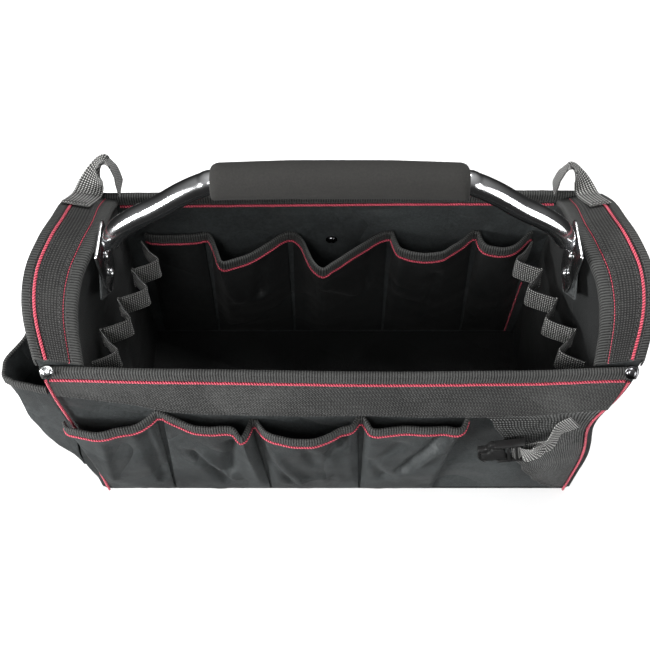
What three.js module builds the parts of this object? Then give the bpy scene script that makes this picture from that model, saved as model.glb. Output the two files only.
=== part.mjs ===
// Open top tool tote: stiff soft bag with padded arched end walls, rows of patch
// pockets and a fixed tubular carry handle. Sizes in millimetres, X along the
// length, Y to the back, Z up, origin at the middle of the base underside.
import * as THREE from "three";

// ---- main sizes
const rimLength = 500;
const baseLength = 482;
const depth = 192;
const wallHeight = 243;
const baseThickness = 5;
const baseCornerRadius = 6;
const clothThickness = 2.6;
const panelThickness = 1.8;
const gap = 0.4;

// ---- end walls
const archHeight = 54;
const endBulge = 14;
const rimInset = 35;
const rimInsetMiddle = 7;
const innerBaseInset = 40;
const rimDrop = 9;
const rimEndClearance = 2.2;
const swellHeight = 120;
const leftSwell = 7;
const rightSwell = 3;

// ---- front and back walls
const wallWave = 1.5;
const cornerDent = 11;
const dentHeight = 150;
const dentReach = 42;

// ---- edge trims
const bindingThickness = 1.6;
const bindingHeight = 10;
const pipingRadius = 1.7;
const innerPipingRadius = 0.8;
const rimTapeWidth = 6;
const rimBandInset = 10.6;
const rimTapeHang = 6;
const cornerPipingRadius = 1.7;
const cornerPipingInset = 7;
const leftTopInset = 2.6;
const rightTopInset = 5;
const backInset = 2.6;
const cornerSeam = 0.9;
const bandThickness = 2;
const bandWidth = 50;

// ---- front pockets
const pocketMouthHeight = 164;
const pocketFloor = 7;
const pocketReach = 22;
const mouthPlay = 8;
const seamHalfWidth = 3.2;
const seamFootWidth = 1.2;
const pocketBindingHeight = 8;
const mouthPipingRadius = 1.3;

// ---- inner back pockets
const innerMouthHeight = 188;
const innerPocketFloor = 12;
const innerPocketReach = 45;

// ---- side pocket on the left end
const sideMouthHeight = 206;
const sidePocketFloor = 50;
const sidePocketReach = 37;
const sidePocketBack = 40;

// ---- front right holster, strap and buckle
const holsterTopDrop = 53;
const holsterFloor = 12;
const holsterBulge = 15;
const strapWidth = 25;
const strapThickness = 1.8;
const buckleLength = 44;
const buckleWidth = 32;
const buckleThickness = 8;
const buckleTilt = -0.2;
const buckleStandOff = 21;

// ---- handle
const handleRise = 80;
const handleClearance = 2.9;
const tubeRadius = 9.6;
const tubeEndShare = 0.75;
const gripRadius = 14.5;
const gripLength = 200;
const gripClearance = 1;
const bracketWidth = 42;
const bracketHeight = 60;
const bracketThickness = 2.6;
const patchDrop = 43;
const bracketDrop = 29;
const rivetSpacing = 25;
const lowRivetDrop = 4;
const rivetRadius = 4.6;
const rivetHeight = 2.8;
const patchSize = 46;
const patchThickness = 1.6;

// ---- snaps, loops and tabs
const snapRadius = 5.6;
const snapHeight = 3;
const snapInset = 8;
const wallSnapHeight = 176;
const wallSnapX = -5;
const loopReach = 20;
const loopWidth = 25;
const loopStandOff = 1.2;
const tabWidth = 25;
const leftTabRise = 34;
const rightTabRise = 31;

const group = new THREE.Group();
group.name = "open_top_tool_tote";

// ---- materials
function material(colour, roughness, metalness) {
  return new THREE.MeshStandardMaterial({ color: colour, roughness, metalness });
}
const cloth = () => material(0x2b2e2f, 0.9, 0);
const webbing = () => material(0x3a3a38, 0.85, 0);
const redCord = () => material(0xc83a52, 0.7, 0);
const chrome = () => material(0xd8dadc, 0.15, 1);
const foam = () => material(0x43423e, 0.95, 0);
const plastic = () => material(0x1b1b1c, 0.5, 0);

// ---- mesh building
function add(name, points, faces, look) {
  let volume = 0;
  for (const [a, b, c] of faces) {
    volume += points[a].dot(points[b].clone().cross(points[c]));
  }
  const index = volume > 0 ? faces.flat() : faces.flatMap(([a, b, c]) => [a, c, b]);
  const geometry = new THREE.BufferGeometry();
  const flat = points.flatMap((p) => [p.x, p.y, p.z]);
  geometry.setAttribute("position", new THREE.Float32BufferAttribute(flat, 3));
  geometry.setIndex(index);
  geometry.computeVertexNormals();
  const mesh = new THREE.Mesh(geometry, look());
  mesh.name = name;
  group.add(mesh);
}

// Closed solid through rings of equal count; outline is the section in 2-D for the caps.
function loft(name, rings, outline, look) {
  const count = rings[0].length;
  const faces = [];
  for (let i = 0; i + 1 < rings.length; i += 1) {
    for (let j = 0; j < count; j += 1) {
      const a = i * count + j;
      const b = i * count + ((j + 1) % count);
      faces.push([a, b, b + count], [a, b + count, a + count]);
    }
  }
  const cap = THREE.ShapeUtils.triangulateShape(outline.map(([x, y]) => new THREE.Vector2(x, y)), []);
  const last = (rings.length - 1) * count;
  for (const [a, b, c] of cap) {
    faces.push([a, c, b], [last + a, last + b, last + c]);
  }
  const turn = THREE.ShapeUtils.isClockWise(outline.map(([x, y]) => new THREE.Vector2(x, y)));
  const sides = faces.length - 2 * cap.length;
  const fixed = turn ? faces.map(([a, b, c], n) => (n < sides ? [a, b, c] : [a, c, b])) : faces;
  add(name, rings.flat(), fixed, look);
}

// Closed sheet between two grids of points of the same counts.
function sheet(name, outer, inner, look) {
  const rows = outer.length;
  const columns = outer[0].length;
  const at = (layer, i, j) => layer * rows * columns + i * columns + j;
  const faces = [];
  const quad = (a, b, c, d) => faces.push([a, b, c], [a, c, d]);
  for (let i = 0; i + 1 < rows; i += 1) {
    for (let j = 0; j + 1 < columns; j += 1) {
      quad(at(0, i, j), at(0, i + 1, j), at(0, i + 1, j + 1), at(0, i, j + 1));
      quad(at(1, i, j), at(1, i, j + 1), at(1, i + 1, j + 1), at(1, i + 1, j));
    }
  }
  for (let i = 0; i + 1 < rows; i += 1) {
    quad(at(0, i, 0), at(1, i, 0), at(1, i + 1, 0), at(0, i + 1, 0));
    quad(at(0, i + 1, columns - 1), at(1, i + 1, columns - 1), at(1, i, columns - 1), at(0, i, columns - 1));
  }
  for (let j = 0; j + 1 < columns; j += 1) {
    quad(at(0, 0, j + 1), at(1, 0, j + 1), at(1, 0, j), at(0, 0, j));
    quad(at(0, rows - 1, j), at(1, rows - 1, j), at(1, rows - 1, j + 1), at(0, rows - 1, j + 1));
  }
  add(name, [...outer.flat(), ...inner.flat()], faces, look);
}

const V = (x, y, z) => new THREE.Vector3(x, y, z);
const spread = (count) => Array.from({ length: count + 1 }, (_, i) => i / count);
const mix = (a, b, t) => a + (b - a) * t;
const smooth = (t) => t * t * (3 - 2 * t);

// Value of a table of [position, value] rows, eased between the rows.
function read(table, position) {
  for (let i = 0; i + 1 < table.length; i += 1) {
    const [p0, v0] = table[i];
    const [p1, v1] = table[i + 1];
    if (position <= p1) {
      const t = Math.max(0, (position - p0) / (p1 - p0));
      return mix(v0, v1, smooth(t));
    }
  }
  return table[table.length - 1][1];
}

// Value of a table on a smooth curve through its rows, with the position in the first column.
function blend(table, position, column = 1) {
  let n = 0;
  while (n + 2 < table.length && position > table[n + 1][0]) n += 1;
  const row = (i) => table[Math.max(0, Math.min(table.length - 1, i))];
  const slope = (i) => {
    const [before, after] = [row(i - 1), row(i + 1)];
    return (after[column] - before[column]) / Math.max(1e-9, after[0] - before[0]);
  };
  const span = row(n + 1)[0] - row(n)[0];
  const t = Math.min(1, Math.max(0, (position - row(n)[0]) / span));
  const keep = smooth(t);
  return row(n)[column] * (1 - keep) + row(n + 1)[column] * keep
    + span * (slope(n) * t * (1 - t) * (1 - t) - slope(n + 1) * t * t * (1 - t));
}

// Round cord or bar along a path of points, one radius or one for each point.
function cord(name, path, radius, sides, look, reference = V(0, 0, 1)) {
  const outline = spread(sides).slice(1).map((t) => [Math.cos(t * 2 * Math.PI), Math.sin(t * 2 * Math.PI)]);
  const rings = path.map((p, i) => {
    const ahead = path[Math.min(i + 1, path.length - 1)];
    const behind = path[Math.max(i - 1, 0)];
    const along = ahead.clone().sub(behind).normalize();
    const side = along.clone().cross(reference).normalize();
    const up = side.clone().cross(along);
    const r = Array.isArray(radius) ? radius[i] : radius;
    return outline.map(([a, b]) => p.clone().addScaledVector(side, a * r).addScaledVector(up, b * r));
  });
  loft(name, rings, outline, look);
}

// Flat strap along a path; across gives the width direction at each point.
function strap(name, path, across, width, thickness, look) {
  const outline = [[-1, -1], [1, -1], [1, 1], [-1, 1]];
  const rings = path.map((p, i) => {
    const ahead = path[Math.min(i + 1, path.length - 1)];
    const behind = path[Math.max(i - 1, 0)];
    const along = ahead.clone().sub(behind).normalize();
    const wide = (Array.isArray(across) ? across[i] : across).clone();
    wide.addScaledVector(along, -wide.dot(along)).normalize();
    const thin = along.clone().cross(wide);
    const half = width / 2;
    return outline.map(([a, b]) =>
      p.clone().addScaledVector(wide, a * half).addScaledVector(thin, (b * thickness) / 2));
  });
  loft(name, rings, outline, look);
}

// Short round stud standing on a face.
function stud(name, centre, axis, radius, height, look, sides = 10) {
  const up = axis.clone().normalize();
  const side = up.clone().cross(Math.abs(up.x) > 0.9 ? V(0, 1, 0) : V(1, 0, 0)).normalize();
  const other = up.clone().cross(side);
  const outline = spread(sides).slice(1).map((t) => [Math.cos(t * 2 * Math.PI), Math.sin(t * 2 * Math.PI)]);
  const profile = [[1, 0], [1, 0.45], [0.62, 1]];
  const rings = profile.map(([r, h]) =>
    outline.map(([a, b]) =>
      centre.clone().addScaledVector(up, h * height).addScaledVector(side, a * r * radius)
        .addScaledVector(other, b * r * radius)));
  loft(name, rings, outline, look);
}

// ---- shell surfaces
const halfDepth = depth / 2;
const halfLength = (z) => mix(baseLength, rimLength, z / wallHeight) / 2;
// columns: share of the half depth, share of the arch height or of the end bulge
const archShape = [[-1, 0], [-0.63, 0.6], [-0.31, 0.89], [0, 1], [0.31, 0.84], [0.63, 0.53], [1, 0]];
const bulgeShape = [[-1, 0], [-0.63, 0.62], [-0.31, 0.6], [0, 0.05], [0.31, -0.3], [0.63, -0.36], [1, -0.5]];
const archTop = (y) => wallHeight + archHeight * blend(archShape, y / halfDepth);
// Rim bends out towards the front and leans in where the handle holds it.
const bulgeAt = (y) => endBulge * blend(bulgeShape, y / halfDepth);
function outerEnd(y, z) {
  const up = Math.min(1, z / wallHeight);
  return halfLength(up * wallHeight) + bulgeAt(y) * up ** 2;
}
// The foot of the end walls swells out, more so under the side pocket.
function swellAt(side, z) {
  const reach = side < 0 ? leftSwell : rightSwell;
  return reach * Math.sin(Math.PI * Math.min(1, z / swellHeight)) ** 2;
}
// Share of the corner dent that a place on the right end wall takes.
const dentShare = (side, y) => (side > 0 ? Math.max(0, -y / halfDepth) ** 2 : 0);
const rimOuter = (side, y) => V(side * outerEnd(y, archTop(y)), y, archTop(y));
const rimInner = (side, y) => {
  const top = archTop(y);
  const inset = rimInset + rimInsetMiddle * (1 - (y / halfDepth) ** 2);
  return V(side * (outerEnd(y, top) - inset), y, top - rimDrop);
};
const innerEnd = (y, z) => {
  const top = rimInner(1, y);
  return mix(baseLength / 2 - innerBaseInset, top.x, Math.min(1, z / top.z));
};
// columns: share of the half length, sag of the front edge
const frontSag = [[-1, 1.5], [-0.6, 5], [0.1, 6], [0.6, 4], [0.95, 0], [1, 0]];
const rimAt = (x, sagging) => wallHeight - (sagging ? read(frontSag, (2 * x) / rimLength) : 0);
const wave = (x, turns, start) => wallWave * Math.sin((x / rimLength) * turns + start);
const frontFace = (x, z) => -halfDepth - wave(x, 5, 0.6) * (z / wallHeight);
const backFace = (x, z) => halfDepth + wave(x, 4, 0.4) * (z / wallHeight);

// ---- base
function base() {
  const corners = [[1, 1], [-1, 1], [-1, -1], [1, -1]];
  const reachX = baseLength / 2 - baseCornerRadius;
  const reachY = halfDepth - baseCornerRadius;
  const outline = corners.flatMap(([sx, sy], n) => [0, 0.5, 1].map((t) => {
    const angle = ((n + t) * Math.PI) / 2;
    const x = sx * reachX + baseCornerRadius * Math.cos(angle);
    const y = sy * reachY + baseCornerRadius * Math.sin(angle);
    return [x, y];
  }));
  const rings = [0, baseThickness].map((z) => outline.map(([x, y]) => V(x, y, z)));
  loft("base_panel", rings, outline, cloth);
}

const rimReach = halfDepth - clothThickness - bindingThickness - 2 * gap - rimEndClearance;

// ---- front and back walls
// Front right corner is pushed in half way up, and the rim narrows to the back.
const dentAt = (z) => cornerDent * Math.exp(-(((z - dentHeight) / dentReach) ** 2));
const backNarrowing = (z) => (z / wallHeight) * endBulge * 0.5;
function cornerX(side, z, atFront) {
  const dent = atFront && side > 0 ? dentAt(z) : 0;
  return side * (halfLength(z) - dent - (atFront ? 0 : backNarrowing(z)));
}
// The piping of a corner lies on the long wall, nearer to the end at the top.
function cordInset(side, z, atFront) {
  const nearTop = smooth(Math.min(1, Math.max(0, (z / wallHeight - 0.5) / 0.35)));
  const topInset = side < 0 ? leftTopInset : rightTopInset;
  return atFront ? mix(cornerPipingInset, topInset, nearTop) : backInset;
}
const cordX = (side, z, atFront) => cornerX(side, z, atFront) - side * cordInset(side, z, atFront);
// Place along a long wall for a share between minus one and one.
function placeX(share, z, atFront) {
  const end = Math.abs(cornerX(Math.sign(share) || 1, z, atFront)) - cornerSeam;
  return share * end;
}
function longWall(name, face, inward, sagging) {
  const start = baseThickness + gap;
  const at = (t, v, inset) => {
    const level = mix(start, wallHeight, v);
    const x = placeX(mix(-1, 1, t), level, sagging);
    const z = mix(start, rimAt(x, sagging), v);
    return V(x, face(x, z) + inward * inset, z);
  };
  const outer = spread(14).map((t) => spread(4).map((v) => at(t, v, 0)));
  const inner = spread(14).map((t) => spread(4).map((v) => at(t, v, clothThickness)));
  sheet(name, outer, inner, cloth);
}

// ---- padded end walls with arched tops
function endWall(name, side) {
  const start = baseThickness + gap;
  const column = (y, fn, top) => spread(5).map((v) => fn(y, mix(start, top, v)));
  const ys = spread(10).map((t) => mix(-rimReach, rimReach, t));
  const outside = (y, z) => outerEnd(y, z) + swellAt(side, z) - dentShare(side, y) * dentAt(z);
  const outerPoint = (y, z) => V(side * outside(y, z), y, z);
  const innerPoint = (y, z) => V(side * innerEnd(y, z), y, z);
  const outer = ys.map((y) => column(y, outerPoint, archTop(y)));
  const inner = ys.map((y) => column(y, innerPoint, rimInner(side, y).z));
  sheet(name, outer, inner, cloth);
}

// Direction across the sloping rim of an end wall, from its outer to its inner edge.
function rimAcross(side, y) {
  return rimInner(side, y).sub(rimOuter(side, y)).normalize();
}
// A distance below zero counts back from the inner edge.
function rimPoint(side, y, distance, lift, fromInner = distance < 0) {
  const across = rimAcross(side, y);
  const normal = V(-across.z * side, 0, across.x * side).normalize();
  if (normal.z < 0) normal.negate();
  const start = fromInner ? rimInner(side, y) : rimOuter(side, y);
  return start.addScaledVector(across, distance).addScaledVector(normal, lift);
}
// Strip lying on the sloping rim between two distances across it.
function rimStrip(name, side, from, to, lift, thickness, look) {
  const ys = spread(10).map((t) => mix(-rimReach, rimReach, t));
  const grid = (h) => ys.map((y) => [rimPoint(side, y, from, h), rimPoint(side, y, to, h)]);
  sheet(name, grid(lift + thickness), grid(lift), look);
}
function rimCord(name, side, distance, radius) {
  const lift = gap + radius + 0.1;
  const path = spread(10).map((t) => rimPoint(side, mix(-rimReach, rimReach, t), distance, lift));
  cord(name, path, radius, 6, redCord);
}
// Binding folded over the outer or the inner edge of the rim.
function rimBinding(name, side, outward, width, hang) {
  const ys = spread(10).map((t) => mix(-rimReach, rimReach, t));
  const t = bindingThickness;
  const rings = ys.map((y) => {
    const edge = rimPoint(side, y, 0, gap, outward < 0);
    const top = rimPoint(side, y, 0, gap + t, outward < 0);
    const near = rimAcross(side, y).multiplyScalar(outward * width);
    const beside = (off, down) => V(edge.x + side * outward * off, y, edge.z - down);
    return [
      edge.clone().add(near),
      beside(gap, 0),
      beside(gap, hang),
      beside(gap + t, hang),
      V(beside(gap + t, 0).x, y, outward > 0 ? top.z : edge.z + t * 0.4),
      top.clone().add(near),
    ];
  });
  const outline = [[0, 0], [8, 0], [8, -8], [10, -8], [10, 2], [0, 2]];
  loft(name, rings, outline, webbing);
}

// ---- bindings over the front and back top edges
function edgeBinding(name, face, inward, sagging) {
  const t = bindingThickness;
  const outline = [
    [-gap - t, -bindingHeight], [-gap - t, gap + t], [clothThickness + gap + t, gap + t],
    [clothThickness + gap + t, -bindingHeight], [clothThickness + gap, -bindingHeight],
    [clothThickness + gap, gap], [-gap, gap], [-gap, -bindingHeight],
  ];
  const rings = spread(14).map((s) => {
    const x = placeX(mix(-1, 1, s), wallHeight, sagging);
    return outline.map(([n, h]) => V(x, face(x, wallHeight) + inward * n, rimAt(x, sagging) + h));
  });
  loft(name, rings, outline, webbing);
}
function edgePiping(name, face, offset, drop, sagging, from, to) {
  const path = spread(14).map((s) => {
    const x = mix(from, to, s);
    const z = rimAt(x, sagging) - drop;
    return V(x, face(x, z) + offset, z);
  });
  cord(name, path, pipingRadius, 6, redCord);
}

// ---- wide band of webbing under the front edge
// columns: share of the half length, hang of the lower edge out from the wall
const bandHang = [[-1, 1.5], [-0.8, 4], [-0.3, 4.5], [0.1, 5], [0.45, 5.5], [0.85, 5.5], [1, 5]];
// columns: share of the half length, share of the band's width that hangs in sight
const bandReach = [[-1, 0.46], [-0.82, 0.55], [-0.72, 0.65], [-0.6, 0.86], [-0.35, 0.94], [0, 0.92],
  [0.42, 0.96], [0.7, 0.95], [1, 0.82]];
function frontBand() {
  const drop = bindingHeight + 2 * pipingRadius + 2 * gap;
  const at = (s, v, out) => {
    const z = rimAt((s * rimLength) / 2, true) - drop - bandWidth * blend(bandReach, s) * v;
    const side = s < 0 ? -1 : 1;
    const x = s * (Math.abs(cordX(side, z, true)) - cornerPipingRadius - 2 * gap);
    const lift = mix(gap, read(bandHang, s), v ** 1.2);
    return V(x, frontFace(x, z) - lift - out, z);
  };
  const stations = spread(20).map((t) => mix(-1, 1, t));
  const outer = stations.map((s) => spread(3).map((v) => at(s, v, bandThickness)));
  const inner = stations.map((s) => spread(3).map((v) => at(s, v, 0)));
  sheet("front_webbing_band", outer, inner, webbing);
}

// ---- corner pipings
function cornerPiping(name, sideX, sideY) {
  const face = sideY < 0 ? frontFace : backFace;
  const path = spread(8).map((t) => {
    const z = mix(cornerPipingRadius + 1, wallHeight - bindingHeight - 4, t);
    const x = cordX(sideX, z, sideY < 0);
    return V(x, face(x, z) + sideY * (cornerPipingRadius + gap), z);
  });
  cord(name, path, cornerPipingRadius, 6, redCord, V(0, 1, 0));
}

// ---- patch pockets
// Seams of a row: share of the half length at the mouth and at the foot.
const frontSeams = [[-0.995, -0.925], [-0.64, -0.66], [-0.304, -0.266], [0.084, 0.095], [0.476, 0.398]];
const innerSeams = [[-0.76, -0.772], [-0.512, -0.523], [-0.184, -0.183], [0.208, 0.212], [0.546, 0.564],
  [0.776, 0.772]];
// Mouths: share of the pocket's width, share of the row's reach, share of the play in height.
const frontMouths = [
  [[0, 0, -0.5], [0.04, 0.3, -0.3], [0.13, 0.5, 0], [0.3, 0.72, 0], [0.45, 0.76, 0], [0.6, 0.62, 0],
    [0.78, 0.42, 0], [0.92, 0.18, 0.5], [1, 0, 1]],
  [[0, 0, 1], [0.1, 0.12, 0.4], [0.22, 0.26, 0], [0.4, 0.48, 0], [0.55, 0.54, 0], [0.8, 0.52, 0],
    [0.85, 0.58, -0.3], [0.9, 0.74, -0.9], [0.95, 0.5, -0.9], [1, 0, -1]],
  [[0, 0, -1], [0.04, 0.3, -0.7], [0.1, 0.66, -0.3], [0.2, 0.92, 0], [0.44, 1.03, 0], [0.6, 0.97, 0],
    [0.72, 0.78, 0], [0.82, 0.55, 0], [0.93, 0.4, 0], [0.97, 0.2, 0], [1, 0, 0]],
  [[0, 0, 0], [0.03, 0.22, 0], [0.07, 0.5, 0], [0.19, 0.53, 0], [0.35, 0.46, 0], [0.6, 0.48, 0],
    [0.8, 0.44, 0], [0.9, 0.5, 0], [0.96, 0.38, 0.1], [1, 0, 0.6]],
];
const innerMouths = [
  [[0, 0, 0], [0.1, 0.07, 0], [0.5, 0.07, 0], [0.9, 0.04, 0], [1, 0, 0]],
  [[0, 0, 0], [0.06, 0.2, 0], [0.12, 0.48, 0], [0.18, 0.76, 0], [0.32, 0.74, 0], [0.46, 0.66, 0],
    [0.6, 0.52, 0], [0.76, 0.3, 0], [0.9, 0.09, 0], [1, 0, 0]],
  [[0, 0, 0], [0.05, 0.07, 0], [0.12, 0.26, 0], [0.16, 0.5, 0], [0.22, 0.79, 0], [0.32, 1, 0], [0.4, 0.87, 0],
    [0.48, 0.75, 0], [0.63, 0.5, 0], [0.76, 0.3, 0], [0.9, 0.08, 0], [1, 0, 0]],
  [[0, 0, 0], [0.03, 0.22, 0], [0.07, 0.42, 0], [0.15, 0.5, 0], [0.27, 0.56, 0], [0.45, 0.6, 0],
    [0.6, 0.56, 0], [0.74, 0.38, 0], [0.88, 0.2, 0], [0.95, 0.07, 0], [1, 0, 0]],
  [[0, 0, 0], [0.04, 0.24, 0], [0.12, 0.38, 0], [0.3, 0.46, 0], [0.5, 0.46, 0], [0.7, 0.34, 0],
    [0.93, 0.05, 0], [1, 0, 0]],
];
const frontRow = {
  floor: pocketFloor, mouth: pocketMouthHeight, reach: pocketReach, face: frontFace,
  out: -1, seams: frontSeams, mouths: frontMouths,
};
const innerRow = {
  floor: innerPocketFloor, mouth: innerMouthHeight, reach: innerPocketReach,
  face: (x, z) => backFace(x, z) - clothThickness, out: -1, seams: innerSeams, mouths: innerMouths,
};
const pocketStations = [0, 0.02, 0.05, 0.09, 0.14, 0.2, 0.3, 0.44, 0.58, 0.7, 0.79, 0.85, 0.9, 0.95, 0.98, 1];
// The first front pocket is sewn over the corner piping, so its outer edge stands off the wall.
function coverLift(row, n, t, v) {
  const covering = row === frontRow && n === 0;
  return covering ? (2 * cornerPipingRadius + 2 * gap) * smooth(Math.min(1, v / 0.3)) * (1 - t) ** 4 : 0;
}
function pocketPoint(row, n, t, v, out) {
  const play = blend(row.mouths[n], t, 2) * mouthPlay;
  const z = mix(row.floor, row.mouth, v) + play * v ** 3;
  const seam = mix(seamFootWidth, seamHalfWidth, v);
  const half = rimLength / 2;
  const left = half * mix(row.seams[n][1], row.seams[n][0], v) + seam;
  const right = half * mix(row.seams[n + 1][1], row.seams[n + 1][0], v) - seam;
  const x = mix(left, right, t);
  const reach = row.reach * Math.max(0, blend(row.mouths[n], t)) * v ** 0.85;
  return V(x, row.face(x, z) + row.out * (gap + reach + coverLift(row, n, t, v) + out), z);
}
function pocketPanel(name, row, n) {
  const levels = [0, 0.3, 0.65, 1];
  const grid = (out) => pocketStations.map((t) => levels.map((v) => pocketPoint(row, n, t, v, out)));
  sheet(name, grid(panelThickness), grid(0), cloth);
}
// Mouth line through a whole row of pockets.
function mouthLine(row) {
  const point = (n, t) => pocketPoint(row, n, t, 1, panelThickness / 2);
  return row.mouths.flatMap((_, n) => pocketStations.map((t) => point(n, t)));
}
function flatNormals(line, out) {
  return line.map((p, i) => {
    const ahead = line[Math.min(i + 1, line.length - 1)];
    const behind = line[Math.max(i - 1, 0)];
    const along = ahead.clone().sub(behind);
    const normal = V(along.y, -along.x, 0).normalize();
    return normal.y * out < 0 ? normal.negate() : normal;
  });
}
// Tape folded over a pocket mouth; normals point away from the pocket.
function mouthTape(name, line, normals) {
  const inside = panelThickness / 2 + gap;
  const outside = inside + bindingThickness * 0.8;
  const outline = [
    [inside, -pocketBindingHeight], [outside, -pocketBindingHeight], [outside, gap + bindingThickness],
    [-panelThickness / 2, gap + bindingThickness], [-panelThickness / 2, gap], [inside, gap],
  ];
  const place = (p, normal, n, h) => p.clone().addScaledVector(normal, n).add(V(0, 0, h));
  const rings = line.map((p, i) => outline.map(([n, h]) => place(p, normals[i], n, h)));
  loft(name, rings, outline, webbing);
}
function pocketRow(word, row) {
  row.mouths.forEach((_, n) => pocketPanel(`${word}_pocket_${n + 1}`, row, n));
  const line = mouthLine(row);
  const normals = flatNormals(line, row.out);
  mouthTape(`${word}_pocket_binding`, line, normals);
  const out = panelThickness / 2 + gap + mouthPipingRadius;
  const drop = pocketBindingHeight + mouthPipingRadius + gap;
  const path = line.map((p, i) => p.clone().addScaledVector(normals[i], out).add(V(0, 0, -drop)));
  cord(`${word}_pocket_piping`, path, mouthPipingRadius, 4, redCord);
}

// ---- bulging pocket on the left end
// columns: share of the way from front to back, share of the reach of the mouth
const sideReach = [[0, 0.03], [0.02, 0.38], [0.05, 0.8], [0.09, 1], [0.16, 0.97], [0.4, 0.54], [0.7, 0.19],
  [1, 0.03]];
const sidePocketEdge = 5;
const sideMouthSlope = 6;
function sidePoint(t, v, out) {
  const z = mix(sidePocketFloor, sideMouthHeight + sideMouthSlope * t, v);
  const y = mix(sidePocketEdge - halfDepth, sidePocketBack, t);
  const round = Math.sin((Math.PI / 2) * Math.min(1, 2 * v)) ** 0.8;
  const reach = sidePocketReach * read(sideReach, t) * round;
  return V(-(outerEnd(y, z) + swellAt(-1, z) + gap + reach + out), y, z);
}
function sidePocket() {
  const stations = [0, 0.02, 0.05, 0.09, 0.16, 0.28, 0.45, 0.65, 0.85, 1];
  const levels = [0, 0.08, 0.17, 0.3, 0.5, 0.75, 1];
  const grid = (out) => stations.map((t) => levels.map((v) => sidePoint(t, v, out)));
  sheet("side_pocket", grid(panelThickness), grid(0), cloth);
  const line = stations.map((t) => sidePoint(t, 1, panelThickness / 2));
  const normals = line.map((p, i) => {
    const ahead = line[Math.min(i + 1, line.length - 1)];
    const along = ahead.clone().sub(line[Math.max(i - 1, 0)]);
    return V(-Math.abs(along.y), along.x, 0).normalize();
  });
  mouthTape("side_pocket_binding", line, normals);
}

// ---- holster panel with a slanting open edge
// columns: share of the wall height, share of the half length at the open edge
const holsterEdge = [[0.05, 0.912], [0.115, 0.86], [0.185, 0.804], [0.27, 0.756], [0.366, 0.704],
  [0.486, 0.648], [0.576, 0.604], [0.658, 0.56], [0.716, 0.5], [0.782, 0.42]];
// The panel lies flat above this share of its height, where the band covers it.
const holsterFlat = 0.86;
const holsterTop = wallHeight - holsterTopDrop;
function holsterPoint(t, v, out) {
  const z = mix(holsterFloor, holsterTop, v);
  const left = (rimLength / 2) * read(holsterEdge, z / wallHeight);
  const x = mix(left, cordX(1, z, true) - cornerPipingRadius - 2 * gap, t);
  const share = Math.sin(Math.PI * Math.min(1, v / holsterFlat));
  const lift = 2 * gap + holsterBulge * Math.max(0, share) ** 0.7 * (1 - t) ** 0.8;
  return V(x, frontFace(x, z) - lift - out, z);
}
function holsterPanel() {
  const stations = [0, 0.2, 0.45, 0.75, 1];
  const grid = (out) => stations.map((t) => spread(10).map((v) => holsterPoint(t, v, out)));
  sheet("holster_panel", grid(panelThickness), grid(0), webbing);
}

// ---- buckle half on its strap
const buckleLengthShare = 0.6;
const buckleHeightShare = 0.551;
const buckleX = (buckleLengthShare * rimLength) / 2;
const buckleCentre = V(buckleX, -halfDepth - buckleStandOff, buckleHeightShare * wallHeight);
const buckleAlong = V(Math.cos(buckleTilt), 0, -Math.sin(buckleTilt));
const buckleAcross = V(Math.sin(buckleTilt), 0, Math.cos(buckleTilt));
function bucklePoint(a, b, out) {
  const place = buckleCentre.clone().add(V(0, -out, 0));
  return place.addScaledVector(buckleAlong, a).addScaledVector(buckleAcross, b);
}
function buckle() {
  const half = buckleLength / 2;
  const wide = buckleWidth / 2;
  const outline = [
    [-half, -wide * 0.7], [-half + 6, -wide], [half, -wide * 0.92], [half, wide * 0.92],
    [-half + 10, wide * 0.9], [-half + 8, wide * 0.55], [-half, wide * 0.6],
  ];
  const ring = (h) => outline.map(([a, b]) => bucklePoint(a, b, h));
  const rings = [ring(-buckleThickness / 2), ring(buckleThickness / 2)];
  loft("side_release_buckle", rings, outline, plastic);
}
function buckleStrap() {
  const end = buckleLength / 2 + gap;
  const path = [
    bucklePoint(end + 0.6, 0, 0), bucklePoint(end + 8, 0, 0), bucklePoint(end + 20, 3, -2),
    bucklePoint(end + 31, 12, -11), bucklePoint(end + 45, 18, -14.8),
  ];
  strap("buckle_strap", path, buckleAcross, strapWidth * 0.96, strapThickness, webbing);
}

// ---- chains of webbing loops inside the end walls
// columns: way along the chain, reach off the wall
const chainShape = [0, 1, 0.55, 0, 1, 0.55, 0, 1, 0.55, 0, 1, 0.5, 0];
const chainFront = -0.8125 * halfDepth;
const chainBack = 0.77 * halfDepth;
const chainFrontHeight = 0.88 * wallHeight;
const chainBackHeight = 0.757 * wallHeight;
const chainInset = 14;
function loopChain(name, side) {
  const path = chainShape.map((reach, i) => {
    const t = i / (chainShape.length - 1);
    const y = mix(chainFront, chainBack, t);
    const z = mix(chainFrontHeight, chainBackHeight, t);
    const out = gap + strapThickness + loopStandOff + loopReach * reach + chainInset * t * t;
    const x = innerEnd(y, z) - out;
    return V(side * x, y, z);
  });
  strap(name, path, V(0, 0, 1), loopWidth, strapThickness, webbing);
}

// ---- tab loops at the back corners
// columns: inset from the end of the rim, share of the rise, share of the lean, step off the back
const tabShape = [[28, 0.62, 1, 0], [38, 1, 1, 1.2], [45, 0.66, 1, 1.2]];
const tabFootInset = 48;
const tabStart = 36;
const tabBend = 4;
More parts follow.
